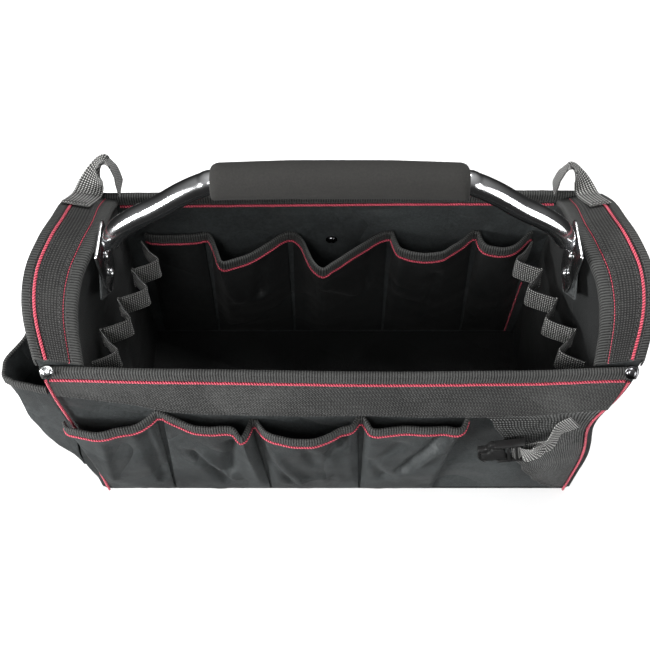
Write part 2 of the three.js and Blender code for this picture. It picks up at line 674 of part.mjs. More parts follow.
// The loop leaves the rim, turns edge up and comes down behind the back rim.
function backTab(name, side, rise, lean, width) {
  const top = wallHeight + bindingThickness + gap;
  const lift = 2 * pipingRadius + 3 * gap + strapThickness;
  const middle = rimInset / 2 - 4.5;
  const reach = (inset) => side * (rimLength / 2 - inset);
  const start = rimPoint(side, rimReach - tabStart, middle, lift);
  const rim = rimPoint(side, rimReach - tabBend, middle, lift);
  const back = halfDepth + strapThickness;
  const path = [
    start, rim,
    ...tabShape.map(([inset, up, over, step]) => V(reach(inset), back + step + over * lean, top + rise * up)),
    V(reach(tabFootInset), back + tabShape[2][3], top + 2),
  ];
  const slope = rimAcross(side, rimReach - 20).multiplyScalar(-1);
  const across = [slope, slope, V(side * 0.5, 1, 0.1), V(0, 1, 0), V(0, 1, 0), V(0, 1, 0)];
  strap(name, path, across, width, strapThickness, webbing);
}

// ---- carry handle
const patchHeight = wallHeight + archHeight - patchDrop;
const plateHeight = wallHeight + archHeight - bracketDrop;
const patchLow = 4;
const plateLow = patchLow + patchThickness + gap;
const rivetLow = plateLow + bracketThickness + gap;
const handleReach = innerEnd(0, patchHeight) - plateLow - bracketThickness - handleClearance;
const handleFoot = wallHeight + archHeight - 4;
// columns: share of the handle's half length, share of its rise
const handleShape = [[1, 0], [0.973, 0.031], [0.927, 0.225], [0.856, 0.388], [0.744, 0.575],
  [0.632, 0.788], [0.54, 0.925], [0.479, 0.975], [0.204, 1], [0, 1]];
const handleLine = handleShape.map(([reach, rise]) => [reach * handleReach, handleFoot + rise * handleRise]);
function handlePath() {
  const left = handleLine.map(([x, z]) => V(-x, 0, z));
  const right = handleLine.slice(0, -1).reverse().map(([x, z]) => V(x, 0, z));
  return [...left, ...right];
}
function handleTube() {
  const path = handlePath();
  const endStart = 0.95 * handleReach;
  const radii = path.map((p) => (Math.abs(p.x) > endStart ? tubeRadius * tubeEndShare : tubeRadius));
  cord("handle_tube", path, radii, 14, chrome, V(0, 1, 0));
}
function gripAt(share) {
  const x = (share * gripLength) / 2;
  const next = handleLine.findIndex(([a]) => a <= Math.abs(x));
  const [x0, z0] = handleLine[next - 1];
  const [x1, z1] = handleLine[next];
  return V(x, 0, mix(z0, z1, (x0 - Math.abs(x)) / (x0 - x1)));
}
function handleGrip() {
  const sides = 12;
  const outline = spread(sides).slice(1).map((t) => [Math.cos(t * 2 * Math.PI), Math.sin(t * 2 * Math.PI)]);
  const shares = [-1, -0.96, -0.6, -0.2, 0.2, 0.6, 0.96, 1];
  const outerR = [0.8, 1, 1.02, 1.04, 1.04, 1.02, 1, 0.8].map((k) => k * gripRadius);
  const hole = tubeRadius + gripClearance;
  const ring = (share, r) => {
    const c = gripAt(share);
    return outline.map(([a, b]) => c.clone().add(V(0, a * r, b * r)));
  };
  const outside = shares.map((s, i) => ring(s, outerR[i]));
  const inside = shares.slice().reverse().map((s) => ring(s, hole));
  const rings = [...outside, ...inside];
  const faces = [];
  for (let i = 0; i < rings.length; i += 1) {
    const next = (i + 1) % rings.length;
    for (let j = 0; j < sides; j += 1) {
      const a = i * sides + j;
      const b = i * sides + ((j + 1) % sides);
      const c = next * sides + ((j + 1) % sides);
      const d = next * sides + j;
      faces.push([a, b, c], [a, c, d]);
    }
  }
  add("foam_grip", rings.flat(), faces, foam);
}

// ---- brackets, rivets and patches on the inner end walls
function bracketSet(side, word) {
  const wall = innerEnd(0, patchHeight);
  const corner = (y, z, off) => V(side * (wall - off), y, z);
  const square = [[-1, -1], [0, -1], [1, -1], [1, 0], [1, 1], [0, 1], [-1, 1], [-1, 0]];
  const plate = (name, centreZ, w, h, low, thick, look, turn) => {
    const outline = square.map(([a, b]) => [
      (a * w * Math.cos(turn) - b * h * Math.sin(turn)) / 2,
      (a * w * Math.sin(turn) + b * h * Math.cos(turn)) / 2,
    ]);
    const ring = (off) => outline.map(([a, b]) => corner(a, centreZ + b, off));
    loft(name, [ring(low), ring(low + thick)], outline, look);
  };
  const patch = `${word}_handle_patch`;
  const bracket = `${word}_handle_bracket`;
  plate(patch, patchHeight, patchSize, patchSize, patchLow, patchThickness, cloth, Math.PI / 4);
  plate(bracket, plateHeight, bracketWidth, bracketHeight, plateLow, bracketThickness, chrome, 0);
  for (const n of [1, 2]) {
    const z = patchHeight - lowRivetDrop + (n - 1) * rivetSpacing;
    const seat = corner(0, z, rivetLow);
    stud(`${word}_bracket_rivet_${n}`, seat, V(-side, 0, 0), rivetRadius, rivetHeight, chrome);
  }
}

// ---- snaps
function snaps() {
  const x = rimLength / 2 - snapInset;
  for (const [side, word] of [[-1, "left"], [1, "right"]]) {
    const out = frontFace(side * x, wallHeight) - bindingThickness - 2 * gap;
    const level = rimAt(side * x, true) + bindingThickness + 2 * gap;
    stud(`${word}_corner_snap`, V(side * x, out, level), V(0, -1, 1), snapRadius, snapHeight, chrome);
  }
  const wallSnapY = backFace(wallSnapX, wallSnapHeight) - clothThickness - gap;
  const wallSnap = V(wallSnapX, wallSnapY, wallSnapHeight);
  stud("inner_wall_snap", wallSnap, V(0, -1, 0), snapRadius, snapHeight, chrome);
}

base();
longWall("front_wall", frontFace, 1, true);
longWall("back_wall", backFace, -1, false);
endWall("left_end_wall", -1);
endWall("right_end_wall", 1);
const rimTapeClear = rimTapeWidth + pipingRadius + gap + 0.3;
const innerTapeWidth = rimBandInset - 2 * innerPipingRadius - 2 * gap;
const innerCordPlace = -rimBandInset + innerPipingRadius + gap;
for (const [side, word] of [[-1, "left"], [1, "right"]]) {
  rimStrip(`${word}_rim_webbing`, side, rimBandInset, -rimBandInset, gap, bandThickness, webbing);
  rimCord(`${word}_rim_outer_piping`, side, rimTapeClear, pipingRadius);
  rimCord(`${word}_rim_inner_piping`, side, innerCordPlace, innerPipingRadius);
  rimBinding(`${word}_rim_outer_binding`, side, 1, rimTapeWidth, bindingHeight);
  rimBinding(`${word}_rim_inner_binding`, side, -1, innerTapeWidth, rimTapeHang);
}
edgeBinding("front_rim_binding", frontFace, 1, true);
edgeBinding("back_rim_binding", backFace, -1, false);
const pipingDrop = bindingHeight + pipingRadius + gap;
const cordClear = cornerPipingRadius + pipingRadius + gap;
const frontCordEnd = (side) => cordX(side, wallHeight - pipingDrop, true) - side * cordClear;
const frontCordOut = -pipingRadius - gap;
edgePiping("front_piping", frontFace, frontCordOut, pipingDrop, true, frontCordEnd(-1), frontCordEnd(1));
const backCordEnd = rimLength / 2 - rimInset - rimDrop - 2;
const backCordOut = -clothThickness - pipingRadius - gap;
edgePiping("back_piping", backFace, backCordOut, pipingDrop, false, -backCordEnd, backCordEnd);
frontBand();
for (const [side, word] of [[-1, "left"], [1, "right"]]) {
  cornerPiping(`front_${word}_corner_piping`, side, -1);
  cornerPiping(`back_${word}_corner_piping`, side, 1);
}
pocketRow("front", frontRow);
pocketRow("inner", innerRow);
sidePocket();
holsterPanel();
buckle();
buckleStrap();
loopChain("left_loop_chain", -1);
loopChain("right_loop_chain", 1);
backTab("left_back_tab", -1, leftTabRise, 3, tabWidth);
backTab("right_back_tab", 1, rightTabRise, 0, tabWidth * 0.75);
handleTube();
handleGrip();
bracketSet(-1, "left");
bracketSet(1, "right");
snaps();

export default group;
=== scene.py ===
"""Open top tool tote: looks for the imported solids.

Sizes here are in millimetres and are scaled when a mesh is made.
"""
from math import cos, exp, hypot, pi, radians, sin
import bpy
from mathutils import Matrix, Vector, noise


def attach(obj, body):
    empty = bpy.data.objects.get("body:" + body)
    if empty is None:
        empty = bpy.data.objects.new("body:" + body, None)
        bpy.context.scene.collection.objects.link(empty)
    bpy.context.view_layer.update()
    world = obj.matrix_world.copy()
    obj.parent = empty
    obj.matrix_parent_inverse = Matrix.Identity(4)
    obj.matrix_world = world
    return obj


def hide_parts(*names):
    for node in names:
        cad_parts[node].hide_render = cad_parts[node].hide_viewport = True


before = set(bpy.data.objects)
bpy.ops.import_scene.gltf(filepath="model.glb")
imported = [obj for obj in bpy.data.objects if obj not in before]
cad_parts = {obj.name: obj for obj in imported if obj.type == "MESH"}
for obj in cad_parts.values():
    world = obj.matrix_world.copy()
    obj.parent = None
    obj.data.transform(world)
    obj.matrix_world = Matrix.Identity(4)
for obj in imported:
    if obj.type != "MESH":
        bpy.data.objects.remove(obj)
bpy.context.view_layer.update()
MM = 0.001

# ---- sizes shared with the solids
RIM_LENGTH = 500
BASE_LENGTH = 482
HALF_DEPTH = 96
WALL_HEIGHT = 243
BASE_THICK = 5
GAP = 0.4
CLOTH = 2.6
PANEL = 1.8
ARCH_HEIGHT = 54
END_BULGE = 14
RIM_INSET = 35
RIM_INSET_MIDDLE = 7
INNER_BASE_INSET = 40
RIM_DROP = 9
TAPE = 1.6
TAPE_HEIGHT = 10
PIPING = 1.7
INNER_PIPING = 0.8
MOUTH_PIPING = 1.3
CORD_SHARE = 0.74
RIM_TAPE_WIDTH = 6
RIM_BAND_INSET = 10.6
CORNER_PIPING = 1.7
CORNER_PIPING_INSET = 7
CORNER_SEAM = 0.9
BAND = 2
BAND_WIDTH = 50
POCKET_TAPE = 8
SEAM_HALF = 3.2
SEAM_FOOT = 1.2
MOUTH_PLAY = 8
SIDE_POCKET_REACH = 37
SIDE_POCKET_FLOOR = 50
SIDE_MOUTH = 206
SIDE_MOUTH_SLOPE = 6
SIDE_POCKET_BACK = 40
HOLSTER_FLOOR = 12
HOLSTER_BULGE = 15
HOLSTER_FLAT = 0.86
LEFT_SWELL = 7
RIGHT_SWELL = 3
SWELL_HEIGHT = 120
CORNER_DENT = 11
DENT_HEIGHT = 150
DENT_REACH = 42
LEFT_TOP_INSET = 2.6
RIGHT_TOP_INSET = 5
BACK_INSET = 2.6
# a distance below zero counts back from the inner edge of the rim
RIM_INNER_EDGE = -1e-6
HOLSTER_TOP = WALL_HEIGHT - 53
STRAP = 1.8
TUBE = 9.6
GRIP = 14.5
GRIP_LENGTH = 200
SNAP = 5.6
END_CORD_LOW = 12
END_CORD_HIGH = 104
END_CORD_FOOT = 191
END_CORD_MIDDLE = 192
END_CORD_HEAD = 194.5
LEFT_TAB_RISE = 34
RIGHT_TAB_RISE = 31
TAB_WIDTH = 25
RIM_REACH = HALF_DEPTH - CLOTH - TAPE - 2 * GAP - 2.2

ARCH = [(-1, 0), (-0.63, 0.6), (-0.31, 0.89), (0, 1), (0.31, 0.84), (0.63, 0.53), (1, 0)]
BULGE = [(-1, 0), (-0.63, 0.62), (-0.31, 0.6), (0, 0.05), (0.31, -0.3), (0.63, -0.36), (1, -0.5)]
FRONT_SAG = [(-1, 1.5), (-0.6, 5), (0.1, 6), (0.6, 4), (0.95, 0), (1, 0)]
BAND_HANG = [(-1, 1.5), (-0.8, 4), (-0.3, 4.5), (0.1, 5), (0.45, 5.5), (0.85, 5.5), (1, 5)]
BAND_REACH = [(-1, 0.46), (-0.82, 0.55), (-0.72, 0.65), (-0.6, 0.86), (-0.35, 0.94), (0, 0.92),
              (0.42, 0.96), (0.7, 0.95), (1, 0.82)]
HANDLE_FOOT = WALL_HEIGHT + ARCH_HEIGHT - 4
HANDLE_RISE = 80
PATCH_HEIGHT = WALL_HEIGHT + ARCH_HEIGHT - 43
# rows: share of the handle's half length, share of its rise
HANDLE_SHAPE = [(1, 0), (0.973, 0.031), (0.927, 0.225), (0.856, 0.388), (0.744, 0.575), (0.632, 0.788),
                (0.54, 0.925), (0.479, 0.975), (0.204, 1), (0, 1)]
SIDE_REACH = [(0, 0.03), (0.02, 0.38), (0.05, 0.8), (0.09, 1), (0.16, 0.97), (0.4, 0.54), (0.7, 0.19),
              (1, 0.03)]
HOLSTER_EDGE = [(0.05, 0.912), (0.115, 0.86), (0.185, 0.804), (0.27, 0.756), (0.366, 0.704), (0.486, 0.648),
                (0.576, 0.604), (0.658, 0.56), (0.716, 0.5), (0.782, 0.42)]


# ---- small maths
def V(x, y, z):
    return Vector((x, y, z))


def mix(a, b, t):
    return a + (b - a) * t


def smooth(t):
    return t * t * (3 - 2 * t)


def grid(at, across, up, depth):
    return [[at(s, v, depth) for v in up] for s in across]


def clamp(t, low=0.0, high=1.0):
    return max(low, min(high, t))


def spread(count, low=0.0, high=1.0):
    return [mix(low, high, i / count) for i in range(count + 1)]


def read(table, at):
    for (p0, v0), (p1, v1) in zip(table, table[1:]):
        if at <= p1:
            return mix(v0, v1, smooth(clamp((at - p0) / (p1 - p0))))
    return table[-1][1]


def blend(table, at, column=1):
    n = 0
    while n + 2 < len(table) and at > table[n + 1][0]:
        n += 1
    row = lambda i: table[max(0, min(len(table) - 1, i))]
    slope = lambda i: (row(i + 1)[column] - row(i - 1)[column]) / max(1e-9, row(i + 1)[0] - row(i - 1)[0])
    span = row(n + 1)[0] - row(n)[0]
    t = clamp((at - row(n)[0]) / span)
    keep = smooth(t)
    curve = slope(n) * t * (1 - t) ** 2 - slope(n + 1) * t * t * (1 - t)
    return row(n)[column] * (1 - keep) + row(n + 1)[column] * keep + span * curve


def crease(x, z, lines, width):
    """Depth of narrow folds along lines from one place to another, softened at their ends."""
    depth = 0.0
    for x0, z0, x1, z1, deep in lines:
        long = hypot(x1 - x0, z1 - z0)
        along = ((x - x0) * (x1 - x0) + (z - z0) * (z1 - z0)) / long
        off = ((x - x0) * (z1 - z0) - (z - z0) * (x1 - x0)) / long
        start = smooth(clamp((along + width) / (2 * width)))
        end = start * smooth(clamp((long - along + width) / (2 * width)))
        depth += deep * end * exp(-((off / width) ** 2))
    return depth


def bump(point, scale, seed=0.0):
    x, y, z = (value / scale for value in point)
    return noise.noise(Vector((x + seed, y - seed, z + 2 * seed)))


# ---- shell surfaces
def half_length(z):
    return mix(BASE_LENGTH, RIM_LENGTH, z / WALL_HEIGHT) / 2


def arch_top(y):
    return WALL_HEIGHT + ARCH_HEIGHT * blend(ARCH, y / HALF_DEPTH)


def bulge_at(y):
    return END_BULGE * blend(BULGE, y / HALF_DEPTH)


def outer_end(y, z):
    return half_length(min(z, WALL_HEIGHT)) + bulge_at(y) * min(1, z / WALL_HEIGHT) ** 2


def swell_at(side, z):
    reach = LEFT_SWELL if side < 0 else RIGHT_SWELL
    return reach * sin(pi * min(1, z / SWELL_HEIGHT)) ** 2


def dent_at(z):
    return CORNER_DENT * exp(-(((z - DENT_HEIGHT) / DENT_REACH) ** 2))


def dent_share(side, y):
    return max(0, -y / HALF_DEPTH) ** 2 if side > 0 else 0


def corner_x(side, z, front):
    dent = dent_at(z) if front and side > 0 else 0
    back = 0 if front else (z / WALL_HEIGHT) * END_BULGE * 0.5
    return side * (half_length(z) - dent - back)


def cord_x(side, z, front):
    near_top = smooth(clamp((z / WALL_HEIGHT - 0.5) / 0.35))
    top_inset = LEFT_TOP_INSET if side < 0 else RIGHT_TOP_INSET
    inset = mix(CORNER_PIPING_INSET, top_inset, near_top) if front else BACK_INSET
    return corner_x(side, z, front) - side * inset


def place_x(share, z, front):
    side = 1 if share >= 0 else -1
    return share * (abs(corner_x(side, z, front)) - CORNER_SEAM)


def rim_outer(side, y):
    top = arch_top(y)
    return V(side * outer_end(y, top), y, top)


def rim_inner(side, y):
    top = arch_top(y)
    inset = RIM_INSET + RIM_INSET_MIDDLE * (1 - (y / HALF_DEPTH) ** 2)
    return V(side * (outer_end(y, top) - inset), y, top - RIM_DROP)


def rim_across(side, y):
    return (rim_inner(side, y) - rim_outer(side, y)).normalized()


def rim_normal(side, y):
    across = rim_across(side, y)
    normal = V(-across.z * side, 0, across.x * side).normalized()
    return normal if normal.z > 0 else -normal


def rim_point(side, y, distance, lift):
    start = rim_inner(side, y) if distance < 0 else rim_outer(side, y)
    return start + rim_across(side, y) * distance + rim_normal(side, y) * lift


def inner_end(y, z):
    top = rim_inner(1, y)
    return mix(BASE_LENGTH / 2 - INNER_BASE_INSET, top.x, min(1, z / top.z))


def rim_at(x, front):
    return WALL_HEIGHT - (read(FRONT_SAG, 2 * x / RIM_LENGTH) if front else 0)


def front_face(x, z):
    return -HALF_DEPTH - 1.5 * sin(x / RIM_LENGTH * 5 + 0.6) * (z / WALL_HEIGHT)


def back_face(x, z):
    return HALF_DEPTH + 1.5 * sin(x / RIM_LENGTH * 4 + 0.4) * (z / WALL_HEIGHT)


# ---- materials
def nodes_of(name):
    material = bpy.data.materials.new(name)
    material.use_nodes = True
    tree = material.node_tree
    shader = tree.nodes["Principled BSDF"]
    return material, tree, shader


def link(tree, a, b):
    tree.links.new(a, b)


def math_node(tree, kind, a, b=None):
    node = tree.nodes.new("ShaderNodeMath")
    node.operation = kind
    for socket, value in zip(node.inputs, (a, b)):
        if value is None:
            continue
        if isinstance(value, (int, float)):
            socket.default_value = value
        else:
            link(tree, value, socket)
    return node.outputs[0]


def wave(tree, value, period):
    """Zero to one wave of a length in metres."""
    turned = math_node(tree, "MULTIPLY", value, 2 * pi / (period * MM))
    return math_node(tree, "MULTIPLY_ADD", math_node(tree, "SINE", turned), 0.5)


def ramp(tree, value, stops):
    node = tree.nodes.new("ShaderNodeValToRGB")
    link(tree, value, node.inputs[0])
    node.color_ramp.elements[0].position = stops[0][0]
    node.color_ramp.elements[0].color = (*stops[0][1], 1)
    node.color_ramp.elements[1].position = stops[1][0]
    node.color_ramp.elements[1].color = (*stops[1][1], 1)
    for position, colour in stops[2:]:
        node.color_ramp.elements.new(position).color = (*colour, 1)
    return node.outputs[0]


def put(node, socket, value):
    node.inputs[socket].default_value = value


def noise_node(tree, scale, detail=4.0, rough=0.6):
    coordinates = tree.nodes.new("ShaderNodeTexCoord")
    node = tree.nodes.new("ShaderNodeTexNoise")
    put(node, "Scale", scale)
    put(node, "Detail", detail)
    put(node, "Roughness", rough)
    link(tree, coordinates.outputs["Object"], node.inputs["Vector"])
    return node.outputs["Fac"]


def bumped(tree, shader, height, strength, distance, under=None):
    node = tree.nodes.new("ShaderNodeBump")
    put(node, "Strength", strength)
    put(node, "Distance", distance * MM)
    link(tree, height, node.inputs["Height"])
    if under:
        link(tree, under, node.inputs["Normal"])
    link(tree, node.outputs[0], shader.inputs["Normal"])
    return node.outputs[0]


def handled(tree, shader, depth_mm):
    """Soft creases of handled cloth, as the normal that the weave is laid on."""
    noise = noise_node(tree, 9.0, 2.0, 0.45)
    put(noise.node, "Distortion", 0.5)
    middle = math_node(tree, "SUBTRACT", noise, 0.5)
    return bumped(tree, shader, math_node(tree, "ABSOLUTE", middle, 0.0), 1.0, depth_mm)


def weave_height(tree, pattern, pitch):
    """Height of a weave over the sheet's own lengthways and crossways distances."""
    uv = tree.nodes.new("ShaderNodeUVMap")
    split = tree.nodes.new("ShaderNodeSeparateXYZ")
    link(tree, uv.outputs[0], split.inputs[0])
    u, v = split.outputs[0], split.outputs[1]
    if pattern == "plain":
        return math_node(tree, "MULTIPLY", wave(tree, math_node(tree, "ADD", u, v), pitch),
                         wave(tree, math_node(tree, "SUBTRACT", u, v), pitch))
    if pattern == "rib":
        return wave(tree, u, pitch)
    if pattern == "basket":
        return math_node(tree, "MULTIPLY", wave(tree, u, pitch), wave(tree, v, pitch * 1.3))
    if pattern == "herringbone":
        zigzag = math_node(tree, "PINGPONG", v, 3.2 * MM)
        slanted = math_node(tree, "ADD", u, zigzag)
        return math_node(tree, "MULTIPLY", wave(tree, slanted, pitch), wave(tree, v, pitch * 0.8))
    twisted = math_node(tree, "MULTIPLY_ADD", v, 0.55)
    link(tree, u, twisted.node.inputs[2])
    return wave(tree, twisted, pitch)


def cloth_material(name, dark, light, pattern, pitch, depth_mm=0.25, rough=0.85, sheen=0.25, weave=0.7,
                   shine=0.3, creases=0.0):
    material, tree, shader = nodes_of(name)
    height = weave_height(tree, pattern, pitch)
    # sheen_patches: broad noise mixed into the colour as painted sheen highlights; the same noise also varies
    # the roughness
    sheen_patches = noise_node(tree, 9.0)
    grain = noise_node(tree, 380.0, 3.0, 0.7)
    mixed = math_node(tree, "MULTIPLY_ADD", height, weave)
    lifted = math_node(tree, "MULTIPLY_ADD", sheen_patches, 0.55)
    link(tree, math_node(tree, "MULTIPLY", grain, 1.0 - weave), lifted.node.inputs[2])
    link(tree, lifted, mixed.node.inputs[2])
    link(tree, ramp(tree, mixed, [(0.5, dark), (1.0, light)]), shader.inputs["Base Color"])
    put(shader, "Sheen Weight", sheen)
    put(shader, "Sheen Roughness", 0.5)
    put(shader, "Specular IOR Level", shine)
    worn = math_node(tree, "MULTIPLY_ADD", sheen_patches, 0.2)
    put(worn.node, 2, rough - 0.1)
    link(tree, worn, shader.inputs["Roughness"])
    raised = math_node(tree, "MULTIPLY_ADD", grain, 0.35)
    link(tree, height, raised.node.inputs[2])
    bumped(tree, shader, raised, 0.7, depth_mm, handled(tree, shader, creases) if creases else None)
    return material


def metal_material(name, colour, rough):
    material, tree, shader = nodes_of(name)
    put(shader, "Metallic", 1.0)
    smear = noise_node(tree, 60.0, 5.0)
    link(tree, ramp(tree, smear, [(0.3, tuple(0.9 * c for c in colour)), (0.7, colour)]),
         shader.inputs["Base Color"])
    finish = math_node(tree, "MULTIPLY_ADD", smear, 0.08)
    put(finish.node, 2, rough)
    link(tree, finish, shader.inputs["Roughness"])
    bumped(tree, shader, noise_node(tree, 220.0, 3.0), 0.05, 0.1)
    return material


def solid_material(name, dark, light, scale, rough, depth_mm):
    material, tree, shader = nodes_of(name)
    speck = noise_node(tree, scale, 6.0)
    link(tree, ramp(tree, speck, [(0.3, dark), (0.7, light)]), shader.inputs["Base Color"])
    finish = math_node(tree, "MULTIPLY_ADD", speck, 0.12)
    put(finish.node, 2, rough)
    link(tree, finish, shader.inputs["Roughness"])
    bumped(tree, shader, speck, 0.6, depth_mm)
    return material


# columns: dark, light, pattern, pitch, depth, roughness, sheen, weave share, shine, depth of creases
CLOTHS = {
    "woven_cloth": (
        (0.002, 0.0027, 0.003), (0.048, 0.056, 0.057), "plain", 1.3, 0.25, 0.5, 0.04, 0.3, 0.6, 26),
    # shaded_cloth: a darker copy of woven_cloth, painted shade for the cloth inside the bag
    "shaded_cloth": (
        (0.0012, 0.0015, 0.0015), (0.012, 0.0135, 0.0135), "plain", 1.3, 0.2, 0.6, 0.02, 0.3, 0.4, 16),
    "mesh_cloth": (
        (0.002, 0.0022, 0.0022), (0.14, 0.143, 0.14), "basket", 2.0, 0.5, 0.65, 0.05, 0.6, 0.3, 14),
    "webbing": (
        (0.001, 0.001, 0.001), (0.066, 0.067, 0.064), "herringbone", 2.7, 0.5, 0.75, 0.06, 0.55, 0.3, 10),
    "rim_webbing": (
        (0.001, 0.001, 0.001), (0.046, 0.046, 0.044), "basket", 2.0, 0.5, 0.75, 0.06, 0.6, 0.3, 8),
    "loop_webbing": ((0.004, 0.004, 0.004), (0.4, 0.4, 0.385), "basket", 2.0, 0.7, 0.8, 0.08, 0.75),
    "binding_tape": ((0.001, 0.001, 0.001), (0.045, 0.046, 0.044), "rib", 2.3, 0.5, 0.7, 0.06, 0.6, 0.3, 6),
    "red_piping": ((0.15, 0.005, 0.015), (0.62, 0.085, 0.13), "twist", 2.4, 0.7, 0.7, 0.1, 0.65),
    "thread": ((0.01, 0.01, 0.01), (0.08, 0.08, 0.078), "rib", 0.7, 0.2, 0.7, 0.05, 0.5),
}
# columns: colour, roughness
METALS = {
    "polished_steel": ((0.80, 0.81, 0.82), 0.12),
    "plated_steel": ((0.74, 0.75, 0.76), 0.16),
    # shaded_steel: a darker copy of the snap metal, painted dark reflection and shade for the right snap and
    # the snap inside the bag
    "shaded_steel": ((0.16, 0.16, 0.165), 0.14),
}
# columns: dark, light, scale of the speckle, roughness, depth
MOULDED = {
    "foam": ((0.007, 0.0065, 0.006), (0.017, 0.0165, 0.0145), 700.0, 0.85, 0.25),
    "buckle_plastic": ((0.008, 0.008, 0.008), (0.018, 0.018, 0.018), 350.0, 0.24, 0.04),
}
MATERIALS = {name: cloth_material(name, *row) for name, row in CLOTHS.items()}
MATERIALS.update({name: metal_material(name, *row) for name, row in METALS.items()})
MATERIALS.update({name: solid_material(name, *row) for name, row in MOULDED.items()})


def shade_inward_faces(obj, inwards):
    """Gives the faces that look into the bag a darker copy of the cloth, as painted shade."""
    obj.data.materials.append(MATERIALS["shaded_cloth"])
    for polygon in obj.data.polygons:
        polygon.material_index = 1 if polygon.normal.dot(inwards) > 0.3 else 0


# ---- mesh making
def make(name, points, faces, uvs, look, stands_for=(), smooth_angle=40):
    mesh = bpy.data.meshes.new(name)
    mesh.from_pydata([p * MM for p in points], [], faces)
    layer = mesh.uv_layers.new(name="UVMap")
    for loop in mesh.loops:
        layer.data[loop.index].uv = [c * MM for c in uvs[loop.vertex_index]]
    mesh.validate()
    obj = bpy.data.objects.new(name, mesh)
    bpy.context.scene.collection.objects.link(obj)
    mesh.materials.append(MATERIALS[look])
    volume = sum(points[f[0]].dot(points[f[k]].cross(points[f[k + 1]])) for f in faces for k in range(1,
            len(f) - 1))
    if volume < 0:
        mesh.flip_normals()
    mesh.set_sharp_from_angle(angle=radians(smooth_angle))
    for polygon in mesh.polygons:
        polygon.use_smooth = True
    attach(obj, "root")
    if stands_for:
        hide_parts(*stands_for)
    return obj


def lengths(points):
    total = [0.0]
    for a, b in zip(points, points[1:]):
        total.append(total[-1] + (b - a).length)
    return total


def sheet(name, outer, inner, look, stands_for=(), turn=False, declare="stretched"):
    """Closed cloth between two grids of points; the area and size of its flat piece are worked out but not
    used.
    """
    rows, columns = len(outer), len(outer[0])
    along = lengths([row[columns // 2] for row in outer])
    up = lengths(outer[rows // 2])
    uvs = [(b, a) if turn else (a, b) for a in along for b in up] * 2
    at = lambda layer, i, j: layer * rows * columns + i * columns + j
    faces = []
    for i in range(rows - 1):
        for j in range(columns - 1):
            faces.append((at(0, i, j), at(0, i + 1, j), at(0, i + 1, j + 1), at(0, i, j + 1)))
            faces.append((at(1, i, j), at(1, i, j + 1), at(1, i + 1, j + 1), at(1, i + 1, j)))
    for i in range(rows - 1):
        faces.append((at(0, i, 0), at(1, i, 0), at(1, i + 1, 0), at(0, i + 1, 0)))
        faces.append((at(0, i + 1, columns - 1), at(1, i + 1, columns - 1), at(1, i, columns - 1),
                      at(0, i, columns - 1)))
    for j in range(columns - 1):
        faces.append((at(0, 0, j + 1), at(1, 0, j + 1), at(1, 0, j), at(0, 0, j)))
        faces.append((at(0, rows - 1, j), at(1, rows - 1, j), at(1, rows - 1, j + 1), at(0, rows - 1, j + 1)))
    points = [p for row in outer for p in row] + [p for row in inner for p in row]
    obj = make(name, points, faces, uvs, look, stands_for)
    if declare:
        area = sum(face_area(outer, i, j) for i in range(rows - 1) for j in range(columns - 1)) * MM * MM
        wide = max(max(lengths([row[j] for row in outer])[-1] for j in range(columns)), 10) * MM
        tall = max(max(lengths(row)[-1] for row in outer), 10) * MM
    return obj


def face_area(grid, i, j):
    a, b, c, d = grid[i][j], grid[i + 1][j], grid[i + 1][j + 1], grid[i][j + 1]
    return 0.5 * ((b - a).cross(c - a).length + (c - a).cross(d - a).length)


def loft(name, rings, look, stands_for=(), smooth_angle=40, closed=False):
    count = len(rings[0])
    centres = [sum(ring, Vector()) / count for ring in rings]
    along = lengths(centres)
    around = lengths(rings[len(rings) // 2])
    faces = []
    last = len(rings) if closed else len(rings) - 1
    for i in range(last):
        for j in range(count):
            k, n = (j + 1) % count, (i + 1) % len(rings)
            faces.append((i * count + j, i * count + k, n * count + k, n * count + j))
    if not closed:
        faces.append(tuple(range(count))[::-1])
        faces.append(tuple((len(rings) - 1) * count + j for j in range(count)))
    uvs = [(a, b) for a in along for b in around]
    return make(name, [p for ring in rings for p in ring], faces, uvs, look, stands_for, smooth_angle)


def directions(path):
    return [(path[min(i + 1, len(path) - 1)] - path[max(i - 1, 0)]).normalized() for i in range(len(path))]


def dense(path, count):
    """The same path with evenly spaced points on a smooth curve."""
    total = lengths(path)
    out = []
    for s in spread(count, 0, total[-1]):
        k = 0
        while k + 2 < len(path) and s > total[k + 1]:
            k += 1
        t = (s - total[k]) / max(1e-9, total[k + 1] - total[k])
        p = [path[max(0, min(len(path) - 1, k + d))] for d in (-1, 0, 1, 2)]
        out.append(0.5 * ((2 * p[1]) + (p[2] - p[0]) * t + (2 * p[0] - 5 * p[1] + 4 * p[2] - p[3]) * t * t
                          + (3 * p[1] - p[0] - 3 * p[2] + p[3]) * t ** 3))
    return out


def cord(name, path, radius, look, stands_for=(), sides=10, reference=None):
    reference = reference or V(0, 0, 1)
    rings = []
    for i, (p, along) in enumerate(zip(path, directions(path))):
        side = along.cross(reference).normalized()
        up = side.cross(along)
        r = radius[i] if isinstance(radius, list) else radius * (CORD_SHARE if look == "red_piping" else 1)
        rings.append([p + side * (r * cos(2 * pi * k / sides)) + up * (r * sin(2 * pi * k / sides))
                      for k in range(sides)])
    return loft(name, rings, look, stands_for)


def strap(name, path, across, width, thick, look, stands_for=(), cross=6, curl=0.0):
    """Flat webbing along a path, with softened edges."""
    rings = []
    for i, (p, along) in enumerate(zip(path, directions(path))):
        wide = (across[i] if isinstance(across, list) else across).copy()
        wide = (wide - along * wide.dot(along)).normalized()
        thin = along.cross(wide)
        section = [(s, 1) for s in spread(cross, -1, 1)] + [(s, -1) for s in spread(cross, 1, -1)]
        ring = []
        for s, h in section:
            edge = 1 - 0.35 * abs(s) ** 8
            ring.append(p + wide * (s * width / 2) + thin * (h * thick / 2 * edge + curl * (s * s - 0.4)))
        rings.append(ring)
    return loft(name, rings, look, stands_for, 60)


